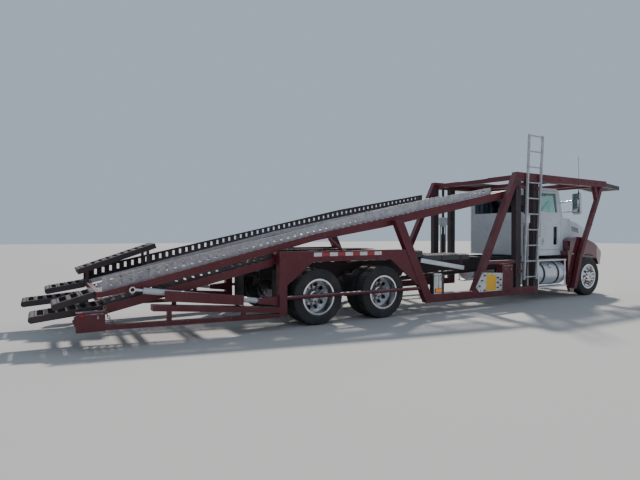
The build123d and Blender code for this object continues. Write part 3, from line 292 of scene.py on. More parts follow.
def clear_solid(name, colour, roughness, ribs=0.0, shine=0.0):
    """Glass or a lamp lens, ribbed if ribs gives a scale."""
    material, tree, shader = start_material(name)
    place = coordinates(tree)
    darker = tuple(c * 0.8 for c in colour)
    tone = blend_colours(tree, spread(tree, noise(tree, place, 2.0), 0.3, 0.7), colour, darker)
    smears = spread(tree, noise(tree, place, 6.0, 6.0), 0.35, 0.75, roughness, roughness + 0.06)
    fill(tree, shader, {"Base Color": tone, "Roughness": smears})
    fill(tree, shader, {"IOR": 1.45, "Transmission Weight": 0.45 if ribs else 0.9})
    if shine:
        fill(tree, shader, {"Emission Color": (*colour, 1.0), "Emission Strength": shine})
    if ribs:
        wave = add_node(tree, "ShaderNodeTexWave", {"Scale": ribs, "Vector": place}, bands_direction="Z")
        add_bump(tree, shader, wave.outputs[0], 0.5, 0.002)
    return material


def reflective_tape(name, colour):
    """Reflective tape with its honeycomb of small cells."""
    material, tree, shader = start_material(name)
    place = coordinates(tree)
    cells = add_node(tree, "ShaderNodeTexVoronoi", {"Scale": 120.0, "Vector": place}, feature="DISTANCE_TO_EDGE")
    lines = spread(tree, cells.outputs[0], 0.02, 0.10)
    faded = tuple(c * 0.6 + 0.05 for c in colour)
    worn = blend_colours(tree, spread(tree, noise(tree, place, 13.0, 6.0), 0.45, 0.75), colour, faded)
    tone = blend_colours(tree, lines, tuple(c * 0.75 for c in colour), worn)
    fill(tree, shader, {"Base Color": tone, "Roughness": 0.28, "Coat Weight": 0.4})
    add_bump(tree, shader, lines, 0.2, 0.0006)
    return material


def woven_cloth(name, colour, second):
    """Seat cloth: two crossed sets of threads and a soft sheen."""
    material, tree, shader = start_material(name)
    place = coordinates(tree)
    threads = [add_node(tree, "ShaderNodeTexWave", {"Scale": 140.0, "Distortion": 0.6, "Vector": place},
                        bands_direction=direction).outputs[0] for direction in ("X", "Y")]
    weave = times(tree, *threads)
    tone = blend_colours(tree, spread(tree, noise(tree, place, 9.0, 6.0), 0.3, 0.7), colour, second)
    tone = blend_colours(tree, times(tree, weave, 0.5), tone, tuple(c * 1.8 for c in colour))
    fill(tree, shader, {"Base Color": tone, "Roughness": 0.88, "Sheen Weight": 0.3})
    add_bump(tree, shader, weave, 0.5, 0.0012)
    return material


# %% Mix the finishes
dust_grey = (0.30, 0.255, 0.26)
red_paint = layered_paint("dusty_red_paint", (0.105, 0.007, 0.014), (0.135, 0.018, 0.027), dust_grey,
                          0.80, 0.40, 0.46, 0.08, (0.20, 0.085, 0.085), (0.060, 0.008, 0.012))
# Painted highlight: the maroon's pale top-face layer is dust and also stands in for the sky's reflection on its glossy
# tops.
maroon_paint = layered_paint("gloss_maroon_paint", (0.090, 0.007, 0.015), (0.115, 0.012, 0.022), (0.34, 0.31, 0.31),
                             0.62, 0.0, 0.20, 1.0, None, (0.10, 0.045, 0.04), 0.05)
white_paint = layered_paint("white_cab_paint", (0.66, 0.70, 0.74), (0.56, 0.61, 0.66), (0.47, 0.44, 0.40),
                            0.28, 0.04, 0.28, 0.5, None, (0.34, 0.31, 0.29), 0.08)
dark_paint = layered_paint("worn_dark_paint", (0.030, 0.026, 0.031), (0.060, 0.036, 0.040), dust_grey,
                           0.40, 0.7, 0.60, 0.0, (0.13, 0.08, 0.075), (0.05, 0.035, 0.032))
iron = layered_paint("grimy_iron", (0.050, 0.046, 0.044), (0.085, 0.070, 0.062), (0.20, 0.17, 0.145),
                     0.5, 0.9, 0.68, 0.0, None, (0.085, 0.065, 0.055))
cylinder_paint = layered_paint("cylinder_paint", (0.62, 0.64, 0.66), (0.50, 0.52, 0.54), dust_grey,
                               0.35, 0.2, 0.30, 0.3, None, (0.40, 0.37, 0.36))
zinc = bare_metal("galvanised_zinc", (0.56, 0.57, 0.60), (0.26, 0.18, 0.17), 0.45, 0.46, 0.22, 3.0,
                  ("X", -0.5, -4.5), 0.45)
aluminium = bare_metal("polished_aluminium", (0.88, 0.90, 0.93), (0.11, 0.055, 0.045), 0.25, 0.15,
                       dirty=("Y", 1.12, 1.00))
tank_metal = bare_metal("tank_aluminium", (0.80, 0.83, 0.87), (0.34, 0.31, 0.29), 0.22, 0.34, metallic=0.5)
plating = bare_metal("bright_plating", (0.74, 0.75, 0.77), (0.30, 0.27, 0.24), 0.35, 0.10)
rod_plating = bare_metal("hard_chrome", (0.72, 0.73, 0.75), (0.22, 0.17, 0.14), 0.3, 0.08)
nut_steel = bare_metal("nut_steel", (0.42, 0.41, 0.41), (0.13, 0.055, 0.035), 0.9, 0.35, 0.0, 30.0)
mirror_face = bare_metal("mirror_face", (0.88, 0.89, 0.90), (0.5, 0.5, 0.5), 0.05, 0.02)
rubber = dull_solid("tyre_rubber", (0.022, 0.024, 0.027), (0.050, 0.048, 0.047), 0.78, 160.0, 0.0012)
flap_rubber = dull_solid("flap_rubber", (0.018, 0.018, 0.018), (0.040, 0.038, 0.036), 0.7, 80.0, 0.001)
cab_plastic = dull_solid("grained_plastic", (0.055, 0.057, 0.062), (0.040, 0.042, 0.046), 0.55, 260.0, 0.0006)
amber_paint = dull_solid("yellow_plate", (0.95, 0.56, 0.040), (0.86, 0.45, 0.035), 0.4, 60.0, 0.0004)
glass = clear_solid("green_tinted_glass", (0.70, 1.0, 0.90), 0.01)
rear_shaded_glass = clear_solid("cab_glass_rear_painted_shade", (0.80, 0.92, 0.90), 0.01)
door_glass = clear_solid("tinted_door_glass_painted_shade", (0.66, 1.0, 0.90), 0.01)
clear_lens = clear_solid("clear_lens", (0.86, 0.88, 0.90), 0.05, 60.0)
red_lens = clear_solid("red_lens", (0.62, 0.012, 0.015), 0.08, 70.0, 0.15)
amber_lens = clear_solid("amber_lens", (0.95, 0.30, 0.02), 0.08, 70.0, 0.35)
white_tape = reflective_tape("white_tape", (0.80, 0.80, 0.80))
red_tape = reflective_tape("red_tape", (0.42, 0.018, 0.025))
seat_cloth = woven_cloth("seat_cloth", (0.085, 0.083, 0.088), (0.125, 0.12, 0.125))
print("finishes mixed:", len(bpy.data.materials))

# %% [markdown]
# ## Painting the CAD pieces
# A CAD piece already has the right shape, so it only gets a finish. Some pieces are one solid but not
# one colour, such as the boxes along the sides, with their white lids and panel. There a shader mask
# reads the place along the truck and blends a second colour into the first.
# Some of these masks paint shade instead: dark patches on the treads, and dark glass where the cab inside is in shade.


# %% Mix a second colour into a finish
def two_coloured(finish, mask_of, second, name=None):
    """A second colour where a mask says, in the finish itself or in a copy with a name."""
    material = finish.copy() if name else finish
    material.name = name or material.name
    tree = material.node_tree
    socket = tree.nodes["Principled BSDF"].inputs["Base Color"]
    first = socket.links[0].from_socket
    if callable(second):
        second = second(tree, first)
    tree.links.new(blend_colours(tree, mask_of(tree), first, second), socket)
    return material


def within(tree, value, low, high):
    """1 between two places, 0 outside them."""
    return times(tree, combine(tree, "GREATER_THAN", value, low), combine(tree, "LESS_THAN", value, high))


def patchy(axis, low, high, scale, detail, thin, thick):
    """A mask that grows along an axis and is broken up by noise."""
    return lambda tree: times(tree, spread(tree, axis_value(tree, axis), low, high),
                                spread(tree, noise(tree, coordinates(tree), scale, detail), thin, thick))


def level(axis, low, high):
    """A mask that changes from 0 to 1 between two places along an axis."""
    return lambda tree: spread(tree, axis_value(tree, axis), low, high)


def shaded_tread(name, axis, low, high, shade):
    """Zinc that turns dark between two places, in patches of painted shade."""
    return two_coloured(zinc, patchy(axis, low, high, 14.0, 7.0, 0.10, 0.38), shade, name)


def lids_and_panel(tree):
    """1 on the service box's door and on the white panel of the right side."""
    along, across = axis_value(tree, "X"), axis_value(tree, "Y")
    panel = times(tree, within(tree, along, 1.23, 2.05), combine(tree, "LESS_THAN", across, -1.2895))
    return combine(tree, "MAXIMUM", within(tree, along, 0.14, 0.335), panel)


def grimy_white(tree, first):
    """White under clouds of grime. The finish's first colour isn't used."""
    clouds = spread(tree, noise(tree, coordinates(tree), 6.0, 7.0), 0.4, 0.75)
    return blend_colours(tree, clouds, (0.74, 0.75, 0.76), (0.45, 0.40, 0.37))


# %% Paint what the CAD model made
# With this span, a tread mask's painted shade covers the whole piece.
everywhere = ("X", -7.0, -6.0)  # both places are behind the tail
box_paint = two_coloured(red_paint, lambda tree: within(tree, axis_value(tree, "X"), 0.05, 0.45),
                         (0.035, 0.035, 0.040), "side_box_paints")
finish_of = {
    "red_paint": red_paint, "maroon_paint": maroon_paint, "white_paint": white_paint, "chassis_paint": dark_paint,
    "galvanised_steel": zinc, "cast_steel": iron, "polished_aluminium": aluminium, "tyre_rubber": rubber,
    "bumper_chrome": plating, "cylinder_paint": cylinder_paint, "rod_chrome": rod_plating, "window_glass": glass,
    "cab_plastic": cab_plastic, "seat_cloth": seat_cloth, "flap_rubber": flap_rubber,
}
special = {
    # Painted shade: the rack treads darken in patches all over, for the shade under the rack.
    "head_rack_treads": shaded_tread("rack_tread_zinc_painted_shade", *everywhere, (0.110, 0.085, 0.090)),
    # Painted shade: the lower treads darken in patches all over, for the shadow they lie in.
    "lower_deck_treads": shaded_tread("lower_tread_zinc_painted_shade", *everywhere, (0.095, 0.085, 0.088)),
    # Painted shade: the upper treads darken in patches on the far guard (y above 1.03), whose inner face is in shade.
    "upper_deck_treads": shaded_tread("upper_tread_zinc_far_guard_shade", "Y", 0.98, 1.03, (0.060, 0.046, 0.050)),
    "lower_deck_frame": two_coloured(red_paint, patchy("X", -0.9, -0.2, 5.0, 6.0, 0.15, 0.45),
                                     (0.045, 0.045, 0.052), "deck_beam_paints"),
    "side_boxes": two_coloured(box_paint, lids_and_panel, grimy_white),
    # Painted shade: the cab glass behind x = 3.7 turns nearly black, for the shaded cab inside.
    "cab_glass": two_coloured(rear_shaded_glass, level("X", 4.0, 3.7), (0.030, 0.045, 0.060)),
    # Painted shade: both door glasses turn nearly black below 1.76 m, for the shaded cab inside; the green tint above
    # is the glass's own.
    "door_glass_left": two_coloured(door_glass, level("Z", 1.80, 1.76), (0.030, 0.045, 0.055)),
    "door_glass_right": door_glass,
    "fuel_tanks": tank_metal,
}
for name, node in nodes.items():
    slots = node.data.materials
    for number, old in enumerate(slots):
        slots[number] = special.get(name) or finish_of[old.name.split(".")[0]]
painted = {material.name for node in nodes.values() for material in node.data.materials}
print("painted:", len(nodes), "CAD pieces with", len(painted), "finishes")

# %% [markdown]
# ## Small shapes
# Every added piece is built from a few shapes: a bar with rounded edges, a tube along points, a
# turned form and a plate. A ray sent at the CAD surface finds where a bolt or a lamp has to sit, so
# nothing floats.

# %% Shape helpers
surfaces = {}
depsgraph = bpy.context.evaluated_depsgraph_get()


def touch(node, start, direction):
    """The point where a ray meets a CAD piece, and the way that surface faces. None if it misses."""
    if node not in surfaces:
        surfaces[node] = BVHTree.FromObject(nodes[node], depsgraph)
    place, normal = surfaces[node].ray_cast(Vector(start), Vector(direction))[:2]
    if place is None:
        return None
    if normal.dot(Vector(direction)) > 0:
        normal = -normal
    return place, normal


def from_side(node, x, sign, z):
    """The outer surface of a CAD piece, seen from one side of the truck."""
    return touch(node, (x, sign * 3.0, z), (0, -sign, 0))


def add_bar(shape, centre, size, rounding=0.003, turn=None, segments=2):
    """A block with rounded edges. turn is a rotation matrix."""
    turned = turn.to_4x4() if turn else Matrix.Identity(4)
    matrix = Matrix.Translation(Vector(centre)) @ turned @ Matrix.Diagonal((*size, 1.0))
    made = bmesh.ops.create_cube(shape, size=1.0, matrix=matrix)["verts"]
    edges = list({e for v in made for e in v.link_edges})
    offset = min(rounding, min(size) * 0.45)
    bmesh.ops.bevel(shape, geom=edges, offset=offset, segments=segments, profile=0.5, affect="EDGES")


def angles(count):
    """Equal steps round a circle."""
    return [2 * math.pi * k / count for k in range(count)]


def ring_points(shape, centre, across, other, radius, count):
    """New points round a centre, in the plane of two directions."""
    return [shape.verts.new(centre + (across * math.cos(a) + other * math.sin(a)) * radius) for a in angles(count)]


def skin_rings(shape, rings, closed=False):
    """Faces from each ring of points to the next, and over both ends unless the rings close."""
    count = len(rings[0])
    for first, second in zip(rings, rings[1:] + rings[:1] if closed else rings[1:]):
        for k in range(count):
            shape.faces.new((first[k], first[(k + 1) % count], second[(k + 1) % count], second[k]))
    if not closed:
        shape.faces.new(rings[0][::-1])
        shape.faces.new(rings[-1])


def add_tube(shape, points, radius, count=12, closed=False):
    """A round tube along points."""
    path = [Vector(p) for p in points]
    rings, across = [], None
    for i, point in enumerate(path):
        before = path[i - 1] if i or closed else point
        after = path[(i + 1) % len(path)] if closed or i + 1 < len(path) else point
        along = (after - before).normalized()
        if across is None:
            across = along.orthogonal().normalized()
        across = (across - along * across.dot(along)).normalized()
        rings.append(ring_points(shape, point, across, along.cross(across), radius, count))
    skin_rings(shape, rings, closed)


def add_turned(shape, base, axis, profile, count=24):
    """A form turned round an axis. profile holds (height along the axis, radius) pairs."""
    axis = Vector(axis).normalized()
    across = axis.orthogonal().normalized()
    skin_rings(shape, [ring_points(shape, Vector(base) + axis * height, across, axis.cross(across), radius, count)
                       for height, radius in profile])


def add_plate(shape, corners, thickness):
    """A flat plate: corners in order, and the vector from its back to its front."""
    back = [shape.verts.new(Vector(c)) for c in corners]
    front = [shape.verts.new(Vector(c) + Vector(thickness)) for c in corners]
    shape.faces.new(back[::-1])
    shape.faces.new(front)
    for k in range(len(corners)):
        shape.faces.new((back[k], back[(k + 1) % len(corners)], front[(k + 1) % len(corners)], front[k]))


def finish_piece(name, shape, material, body, smooth=40.0):
    """Turns a shape into an object that rides on a CAD body."""
    bmesh.ops.remove_doubles(shape, verts=shape.verts, dist=1e-6)
    bmesh.ops.recalc_face_normals(shape, faces=shape.faces)
    mesh = bpy.data.meshes.new(name)
    shape.to_mesh(mesh)
    shape.free()
    mesh.shade_smooth()
    mesh.set_sharp_from_angle(angle=math.radians(smooth))
    mesh.materials.append(material)
    piece = add_object(name, mesh)
    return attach(piece, body)


# %% [markdown]
# ## One node tree for every row of fasteners
# Bolts, wheel nuts and grip studs are the same idea at different sizes: a head on a washer, repeated
# at many places. The tree below puts one at each point of a mesh and turns it to face the way that
# the point's "facing" attribute says. A fixed seed turns each head a little differently.


# %% Build the fastener tree
fastener_inputs = (
    ("Geometry", "Geometry", None), ("Head Radius", "Float", 0.012), ("Head Height", "Float", 0.010),
    ("Head Sides", "Int", 6), ("Washer Share", "Float", 1.45), ("Stud Share", "Float", 0.5),
    ("Seed", "Int", 7), ("Finish", "Material", None),
)


def build_fastener_tree():
    """Points in, solid heads and washers out."""
    tree = bpy.data.node_groups.new("fasteners", "GeometryNodeTree")
    for name, kind, value in fastener_inputs:
        socket = tree.interface.new_socket(name=name, in_out="INPUT", socket_type="NodeSocket" + kind)
        if value is not None:
            socket.default_value = value
    tree.interface.new_socket(name="Geometry", in_out="OUTPUT", socket_type="NodeSocketGeometry")
    entry, leave = add_node(tree, "NodeGroupInput").outputs, add_node(tree, "NodeGroupOutput")

    def raised(mesh, height):
        up = add_node(tree, "ShaderNodeCombineXYZ", {"Z": height}).outputs[0]
        return add_node(tree, "GeometryNodeTransform", {"Geometry": mesh, "Translation": up}).outputs[0]

    def round_bar(count, share, depth_share):
        inputs = {"Vertices": count, "Radius": times(tree, radius, share), "Depth": times(tree, height, depth_share)}
        return add_node(tree, "GeometryNodeMeshCylinder", inputs).outputs["Mesh"]

    radius, height = entry["Head Radius"], entry["Head Height"]
    head = add_node(tree, "GeometryNodeMeshCone", {"Vertices": entry["Head Sides"], "Radius Top": times(tree, radius, 0.86),
                                                   "Radius Bottom": radius, "Depth": height}).outputs["Mesh"]
    washer = raised(round_bar(10, entry["Washer Share"], 0.36), times(tree, height, 0.12))
    stud = raised(round_bar(6, entry["Stud Share"], 0.8), height)
    join = add_node(tree, "GeometryNodeJoinGeometry")
    for part in (head, washer, stud):
        tree.links.new(part, join.inputs[0])

    facing = add_node(tree, "GeometryNodeInputNamedAttribute", {"Name": "facing"}, data_type="FLOAT_VECTOR").outputs[0]
    align = add_node(tree, "FunctionNodeAlignRotationToVector", {"Vector": facing}, axis="Z").outputs[0]
    chance = add_node(tree, "FunctionNodeRandomValue")
    for socket in chance.inputs:
        if socket.name == "Max" and socket.type == "VALUE":
            socket.default_value = math.pi
        if socket.name == "Seed":
            tree.links.new(entry["Seed"], socket)
    angle = next(s for s in chance.outputs if s.type == "VALUE")
    spin = add_node(tree, "FunctionNodeAxisAngleToRotation", {"Axis": (0, 0, 1), "Angle": angle}).outputs[0]
    turn = add_node(tree, "FunctionNodeRotateRotation", {0: align, 1: spin}, rotation_space="LOCAL").outputs[0]
    copies = add_node(tree, "GeometryNodeInstanceOnPoints",
                      {"Points": entry["Geometry"], "Instance": join.outputs[0], "Rotation": turn}).outputs[0]
    real = add_node(tree, "GeometryNodeRealizeInstances", {0: copies}).outputs[0]
    paint = add_node(tree, "GeometryNodeSetMaterial", {"Geometry": real, "Material": entry["Finish"]})
    fill(tree, leave, {0: paint.outputs[0]})
    return tree


fastener_tree = build_fastener_tree()
input_ids = {s.name: s.identifier for s in fastener_tree.interface.items_tree if s.in_out == "INPUT"}
print("fastener inputs:", ", ".join(input_ids))


# %% Place fasteners
def made_plain(piece):
    """The mesh that a piece's modifiers make, and the modifiers gone."""
    mesh = bpy.data.meshes.new_from_object(piece.evaluated_get(bpy.context.evaluated_depsgraph_get()))
    piece.modifiers.clear()
    return mesh


def add_fasteners(name, body, places, material, radius, height, count=6, washer=1.45, stud=0.5):
    """Fasteners at (point, facing) pairs, as one plain mesh."""
    places = [p for p in places if p]
    mesh = bpy.data.meshes.new(name)
    mesh.from_pydata([tuple(p[0]) for p in places], [], [])
    facing = mesh.attributes.new("facing", "FLOAT_VECTOR", "POINT")
    facing.data.foreach_set("vector", [c for p in places for c in p[1]])
    piece = add_object(name, mesh)
    modifier = piece.modifiers.new("fasteners", "NODES")
    modifier.node_group = fastener_tree
    for key, value in (("Head Radius", radius), ("Head Height", height), ("Head Sides", count),
                       ("Washer Share", washer), ("Stud Share", stud), ("Finish", material)):
        modifier[input_ids[key]] = value
    piece.data = made_plain(piece)
    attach(piece, body)
    print(name, len(places), "places,", len(piece.data.polygons), "faces")
    return piece


# %% [markdown]
# ## Tyres with a cut tread
# The CAD tyres are smooth. These have three grooves round the tread, cross cuts in the shoulders and
# ridges on the sidewall. One list of (offset, radius) pairs is the section, and the shoulder points
# drop at every cross cut as the section goes round.

# %% Build the tyres
section = [(0.0, 0.4650), (0.016, 0.4650), (0.018, 0.4530), (0.026, 0.4530), (0.028, 0.4648), (0.052, 0.4645),
           (0.054, 0.4525), (0.062, 0.4525), (0.064, 0.4640), (0.090, 0.4625), (0.106, 0.4590), (0.113, 0.4500),
           (0.119, 0.4340), (0.1215, 0.4330), (0.1255, 0.4050), (0.1275, 0.3750), (0.1270, 0.3560), (0.1290, 0.3530),
           (0.1262, 0.3480), (0.1235, 0.3260), (0.1250, 0.3220), (0.1205, 0.3170), (0.1130, 0.3000), (0.1040, 0.2880),
           (0.0950, 0.2865)]
lugs = 48
tyre_width = 0.255
cross_cut = {"drive": (0.063, 0.455, 0.012), "front": (0.1, 0.44, 0.004)}


def tyre_solid(shape, centre, row):
    """One tyre round a hub centre, with the cross cuts of its row of wheels."""
    profile = [(-y, r) for y, r in section[::-1]] + section[1:]
    cut_from, cut_above, cut_depth = cross_cut[row]
    rings = []
    for lug in range(lugs):
        for share, is_cut in ((0.0, False), (0.70, False), (0.735, True), (0.965, True)):
            angle = 2 * math.pi / lugs * (lug + share)
            ring = []
            for offset, radius in profile:
                length = radius - (cut_depth if is_cut and abs(offset) > cut_from and radius > cut_above else 0.0)
                point = Vector((length * math.cos(angle), offset, length * math.sin(angle)))
                ring.append(shape.verts.new(centre + point))
            rings.append(ring)
    skin_rings(shape, rings, closed=True)


def build_tyres(name, node, body, row):
    """A tyre, or a pair of them, in the place of a CAD node."""
    low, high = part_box(node)
    middle = (low + high) / 2
    shape = bmesh.new()
    offsets = (0.0,)
    if high.y - low.y > 1.5 * tyre_width:
        offsets = (low.y - middle.y + tyre_width / 2, high.y - middle.y - tyre_width / 2)
    for offset in offsets:
        tyre_solid(shape, middle + Vector((0, offset, 0)), row)
    piece = finish_piece(name, shape, rubber, body, 30.0)
    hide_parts(node)


for side, sign in sides:
    build_tyres(f"tread_front_{side}", f"front_tyre_{side}", f"wheel_front_{side}", "front")
    for row in ("front", "rear"):
        build_tyres(f"tread_drive_{row}_{side}", f"dual_tyres_{row}_{side}", f"drive_wheels_{row}_{side}", "drive")

# %% [markdown]
# ## Wheel nuts and hubs
# Ten nuts hold each wheel. On the front wheels they stand on the outer face of the disc, and on the
# drive wheels they sit deep in the dish. The hub's end has a cap in a smaller ring of bolts.


# %% Fit nuts and hub caps
def ring_of(centre, sign, ring_radius, count, start=0.0):
    """Places on a ring round a hub, facing out of the truck."""
    return [((centre.x + ring_radius * math.cos(start + a), centre.y, centre.z + ring_radius * math.sin(start + a)),
             (0, sign, 0)) for a in angles(count)]


def wheel_face(node, sign, ring_radius):
    """How far out the wheel's face is, at a radius from its hub."""
    low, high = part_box(node)
    middle = (low + high) / 2
    face = from_side(node, middle.x + ring_radius, sign, middle.z)[0].y
    return Vector((middle.x, face, middle.z))


nut_ring = 0.145
wheel_rows = (("wheel_front", "front_rim", 0.058, 6, plating),
              ("drive_wheels_front", "dual_rims_front", 0.054, 8, maroon_paint),
              ("drive_wheels_rear", "dual_rims_rear", 0.054, 8, maroon_paint))
cap_profile = [(0, 0.036), (0.012, 0.036), (0.017, 0.030), (0.018, 0.0285), (0.020, 0.012), (0.0205, 0.001)]
for side, sign in sides:
    for wheel, rim, hub_ring, hub_count, cap_finish in wheel_rows:
        wheel, rim = f"{wheel}_{side}", f"{rim}_{side}"
        nuts = ring_of(wheel_face(rim, sign, nut_ring), sign, nut_ring, 10, 0.31)
        add_fasteners(f"nuts_{wheel}", wheel, nuts, nut_steel, 0.019, 0.024, 6, 1.35, 0.6)
        hub = wheel_face(rim, sign, hub_ring)
        bolts = ring_of(hub, sign, hub_ring, hub_count)
        add_fasteners(f"hub_bolts_{wheel}", wheel, bolts, nut_steel, 0.009, 0.008)
        shape = bmesh.new()
        add_turned(shape, hub - Vector((0, sign * 0.002, 0)), (0, sign, 0), cap_profile, 28)
        finish_piece(f"hub_cap_{wheel}", shape, cap_finish, wheel)

# %% [markdown]
# ## Bolts and grip studs
# Structural joints have rows of bolts. The runways have pressed studs between their slots, so that a
# car's wheel grips when it climbs. Rays find where the steel is, and a ray that falls through a slot
# leaves its place empty.


# %% Fit rows of bolts
def side_bolts(node, sign, start, end, count):
    """Bolts along a line seen from one side; start and end are (x, z)."""
    points = [Vector(start).lerp(Vector(end), k / (count - 1)) for k in range(count)]
    return [from_side(node, p[0], sign, p[1]) for p in points]


frame_rows = (
    ("side_frames", (0.15, 0.285), (3.05, 0.285), 12), ("side_frames", (-0.72, 1.60), (-0.18, 0.42), 6),
    ("side_frames", (1.32, 0.50), (2.28, 2.35), 8), ("tandem_frames", (-3.02, 1.085), (-1.00, 1.085), 10),
    ("rear_frame", (-4.72, 0.675), (-3.80, 0.560), 6), ("rear_frame", (-5.45, 0.296), (-3.25, 0.252), 8),
    ("head_rack_posts", (4.72, 0.36), (5.62, 2.42), 7), ("head_rack_frame", (2.55, 2.745), (5.75, 2.745), 12),
)
mast_rows = (("masts", (2.50, 0.55), (2.50, 2.50), 8), ("masts", (3.15, 0.55), (3.15, 2.50), 8))
deck_rows = (
    ("upper_deck_frame", (-5.40, 0.745), (-5.10, 0.810), 3), ("upper_deck_frame", (-4.85, 0.860), (-2.50, 1.415), 9),
    ("upper_deck_frame", (-2.20, 1.470), (2.20, 2.345), 14),
)
for side, sign in sides:
    for kind, rows, body, slot, radius, height in (("frame", frame_rows, "truck", "red_paint", 0.013, 0.011),
                                                   ("mast", mast_rows, "truck", "chassis_paint", 0.013, 0.011),
                                                   ("deck", deck_rows, "upper_deck", "red_paint", 0.011, 0.009)):
        bolts = [bolt for node, *line in rows for bolt in side_bolts(node, sign, *line)]
        add_fasteners(f"{kind}_bolts_{side}", body, bolts, finish_of[slot], radius, height)


# %% Scatter grip studs
def grip_studs(name, node, body, x_from, x_to, pitch, offsets):
    """Pressed studs on a runway, wherever a ray from above meets its top."""
    places = []
    for step in range(int((x_to - x_from) / pitch) + 1):
        for offset in offsets:
            hit = touch(node, (x_from + step * pitch, offset, 4.0), (0, 0, -1))
            if hit and hit[1].z > 0.8:
                places.append(hit)
    add_fasteners(name, body, places, nodes[node].data.materials[0], 0.009, 0.005, 6, 1.0, 0.45)


stud_rows = [sign * y for sign in (1.0, -1.0) for y in (0.455, 0.555, 0.655, 0.74, 0.825, 0.925, 1.02)]
grip_studs("upper_studs", "upper_deck_treads", "upper_deck", -5.57, 1.94, 0.060, stud_rows)
grip_studs("lower_studs", "lower_deck_treads", "truck", -5.55, 1.24, 0.060, stud_rows)
grip_studs("rack_studs", "head_rack_treads", "truck", 2.58, 6.54, 0.060, stud_rows)
grip_studs("skid_studs", "deck_skids", "upper_deck", -5.79, -4.58, 0.060, [0.52, 0.62, 0.75, 0.88, 0.98])
for side, sign in sides:
    ramp_rows = [sign * y for y in (0.52, 0.62, 0.76, 0.90, 1.00)]
    for deck, x_from, x_to in (("upper", -6.22, -5.70), ("lower", -6.53, -5.60)):
        grip_studs(f"{deck}_ramp_studs_{side}", f"{deck}_ramp_{side}", f"ramp_{deck}_{side}",
                   x_from, x_to, 0.055, ramp_rows)

# %% [markdown]
# ## Runways with lower wheel guards
# The upper runways keep the CAD model's slots, but towards the front their outer guards are too tall
# beside the photograph. A merged copy of the CAD mesh has its guards pressed down there, from the
# full height at the rear to less than half of it at the front, and stands in for the node.

# %% Lower the front of the guards
deck_line = ((-5.600, 0.735), (-5.005, 0.870), (-2.365, 1.500), (2.330, 2.430))
cad_guard = ((-5.600, 0.190), (-5.005, 0.165), (-0.500, 0.270), (2.330, 0.270))
seen_guard = ((-5.600, 0.190), (-5.005, 0.165), (-0.500, 0.172), (0.600, 0.160), (1.400, 0.135), (2.330, 0.110))


def along_line(line, x):
    """The height of a broken line at x."""
    for (x0, z0), (x1, z1) in zip(line, line[1:]):
        if x <= x1:
            return z0 + (z1 - z0) * (x - x0) / (x1 - x0)
    return line[-1][1]


guard_inside, guard_foot = 1.045, 0.012
cad_treads = nodes["upper_deck_treads"].data
shape = bmesh.new()
shape.from_mesh(cad_treads)
bmesh.ops.remove_doubles(shape, verts=shape.verts, dist=1e-5)
for vertex in shape.verts:
    x = max(vertex.co.x, deck_line[0][0])
    rise = vertex.co.z - along_line(deck_line, x)
    if abs(vertex.co.y) > guard_inside and rise > guard_foot:
        share = along_line(seen_guard, x) / along_line(cad_guard, x)
        vertex.co.z -= (rise - guard_foot) * (1.0 - share)
# The runways keep the upper tread zinc, with its painted shade on the far guard.
runways = finish_piece("upper_runways", shape, cad_treads.materials[0], "upper_deck", 30.0)
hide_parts("upper_deck_treads")
print("runway box top:", round(max(v.co.z for v in runways.data.vertices), 3))

# %% [markdown]
# ## Tape, lamps and the valve panel
# Reflective tape runs along the beam over the drive wheels, white and red in turn. The lamps are
# amber on the side boxes and beside the headlamps, red at the tail and clear on the hood. The valve
# panel is a white plate with a blank yellow one on it, between black knobs.

# %% Stick the tape on
tape_z = 1.165
tape_edges = [-2.485, -2.335, -2.182, -2.027, -1.878, -1.726, -1.582, -1.426, -1.272, -1.118]
blocks = list(zip(tape_edges, tape_edges[1:]))
for side, sign in sides:
    for colour, first, material in (("white", 0, white_tape), ("red", 1, red_tape)):
        shape = bmesh.new()
        for start, end in blocks[first::2]:
            middle = (start + end) / 2
            hit = from_side("tandem_frames", middle, sign, tape_z)
            add_bar(shape, (middle, hit[0].y, tape_z), (end - start - 0.002, 0.003, 0.062), 0.0012, segments=1)
        finish_piece(f"tape_{colour}_{side}", shape, material, "truck")
print("tape blocks a side:", len(blocks))


# %% Fit the lamps
def add_lamp(name, body, node, x, sign, z, size, lens, depth=0.022):
    """A side lamp: a dark base with a domed lens, on the surface found there."""
    skin = from_side(node, x, sign, z)[0].y
    length, height = size
    base = bmesh.new()
    add_bar(base, (x, skin + sign * 0.004, z), (length + 0.014, 0.012, height + 0.014), 0.004)
    finish_piece(f"{name}_base", base, cab_plastic, body)
    dome = bmesh.new()
    rounding = min(0.008, depth * 0.4)
    add_bar(dome, (x, skin + sign * (0.005 + depth / 2), z), (length, depth, height), rounding, segments=3)
    finish_piece(f"{name}_lens", dome, lens, body)


def add_round_lamp(name, body, place, direction, radius, lens):
    """A round lamp: a dark ring and a domed lens. Each profile gives (height, share of the radius)."""
    ring = ((-0.004, 1.16), (0.008, 1.16), (0.011, 1.10), (0.011, 1.0), (-0.004, 0.98))
    dome = ((-0.004, 1.0), (0.008, 1.0), (0.014, 0.85), (0.018, 0.5), (0.0195, 0.05))
    for part, profile, finish, slot in (("ring", ring, cab_plastic, "cab_plastic"),
                                        ("lens", dome, lens, "window_glass")):
        shape = bmesh.new()
        add_turned(shape, place, direction, [(height, radius * share) for height, share in profile], 28)
        finish_piece(f"{name}_{part}", shape, finish, body)


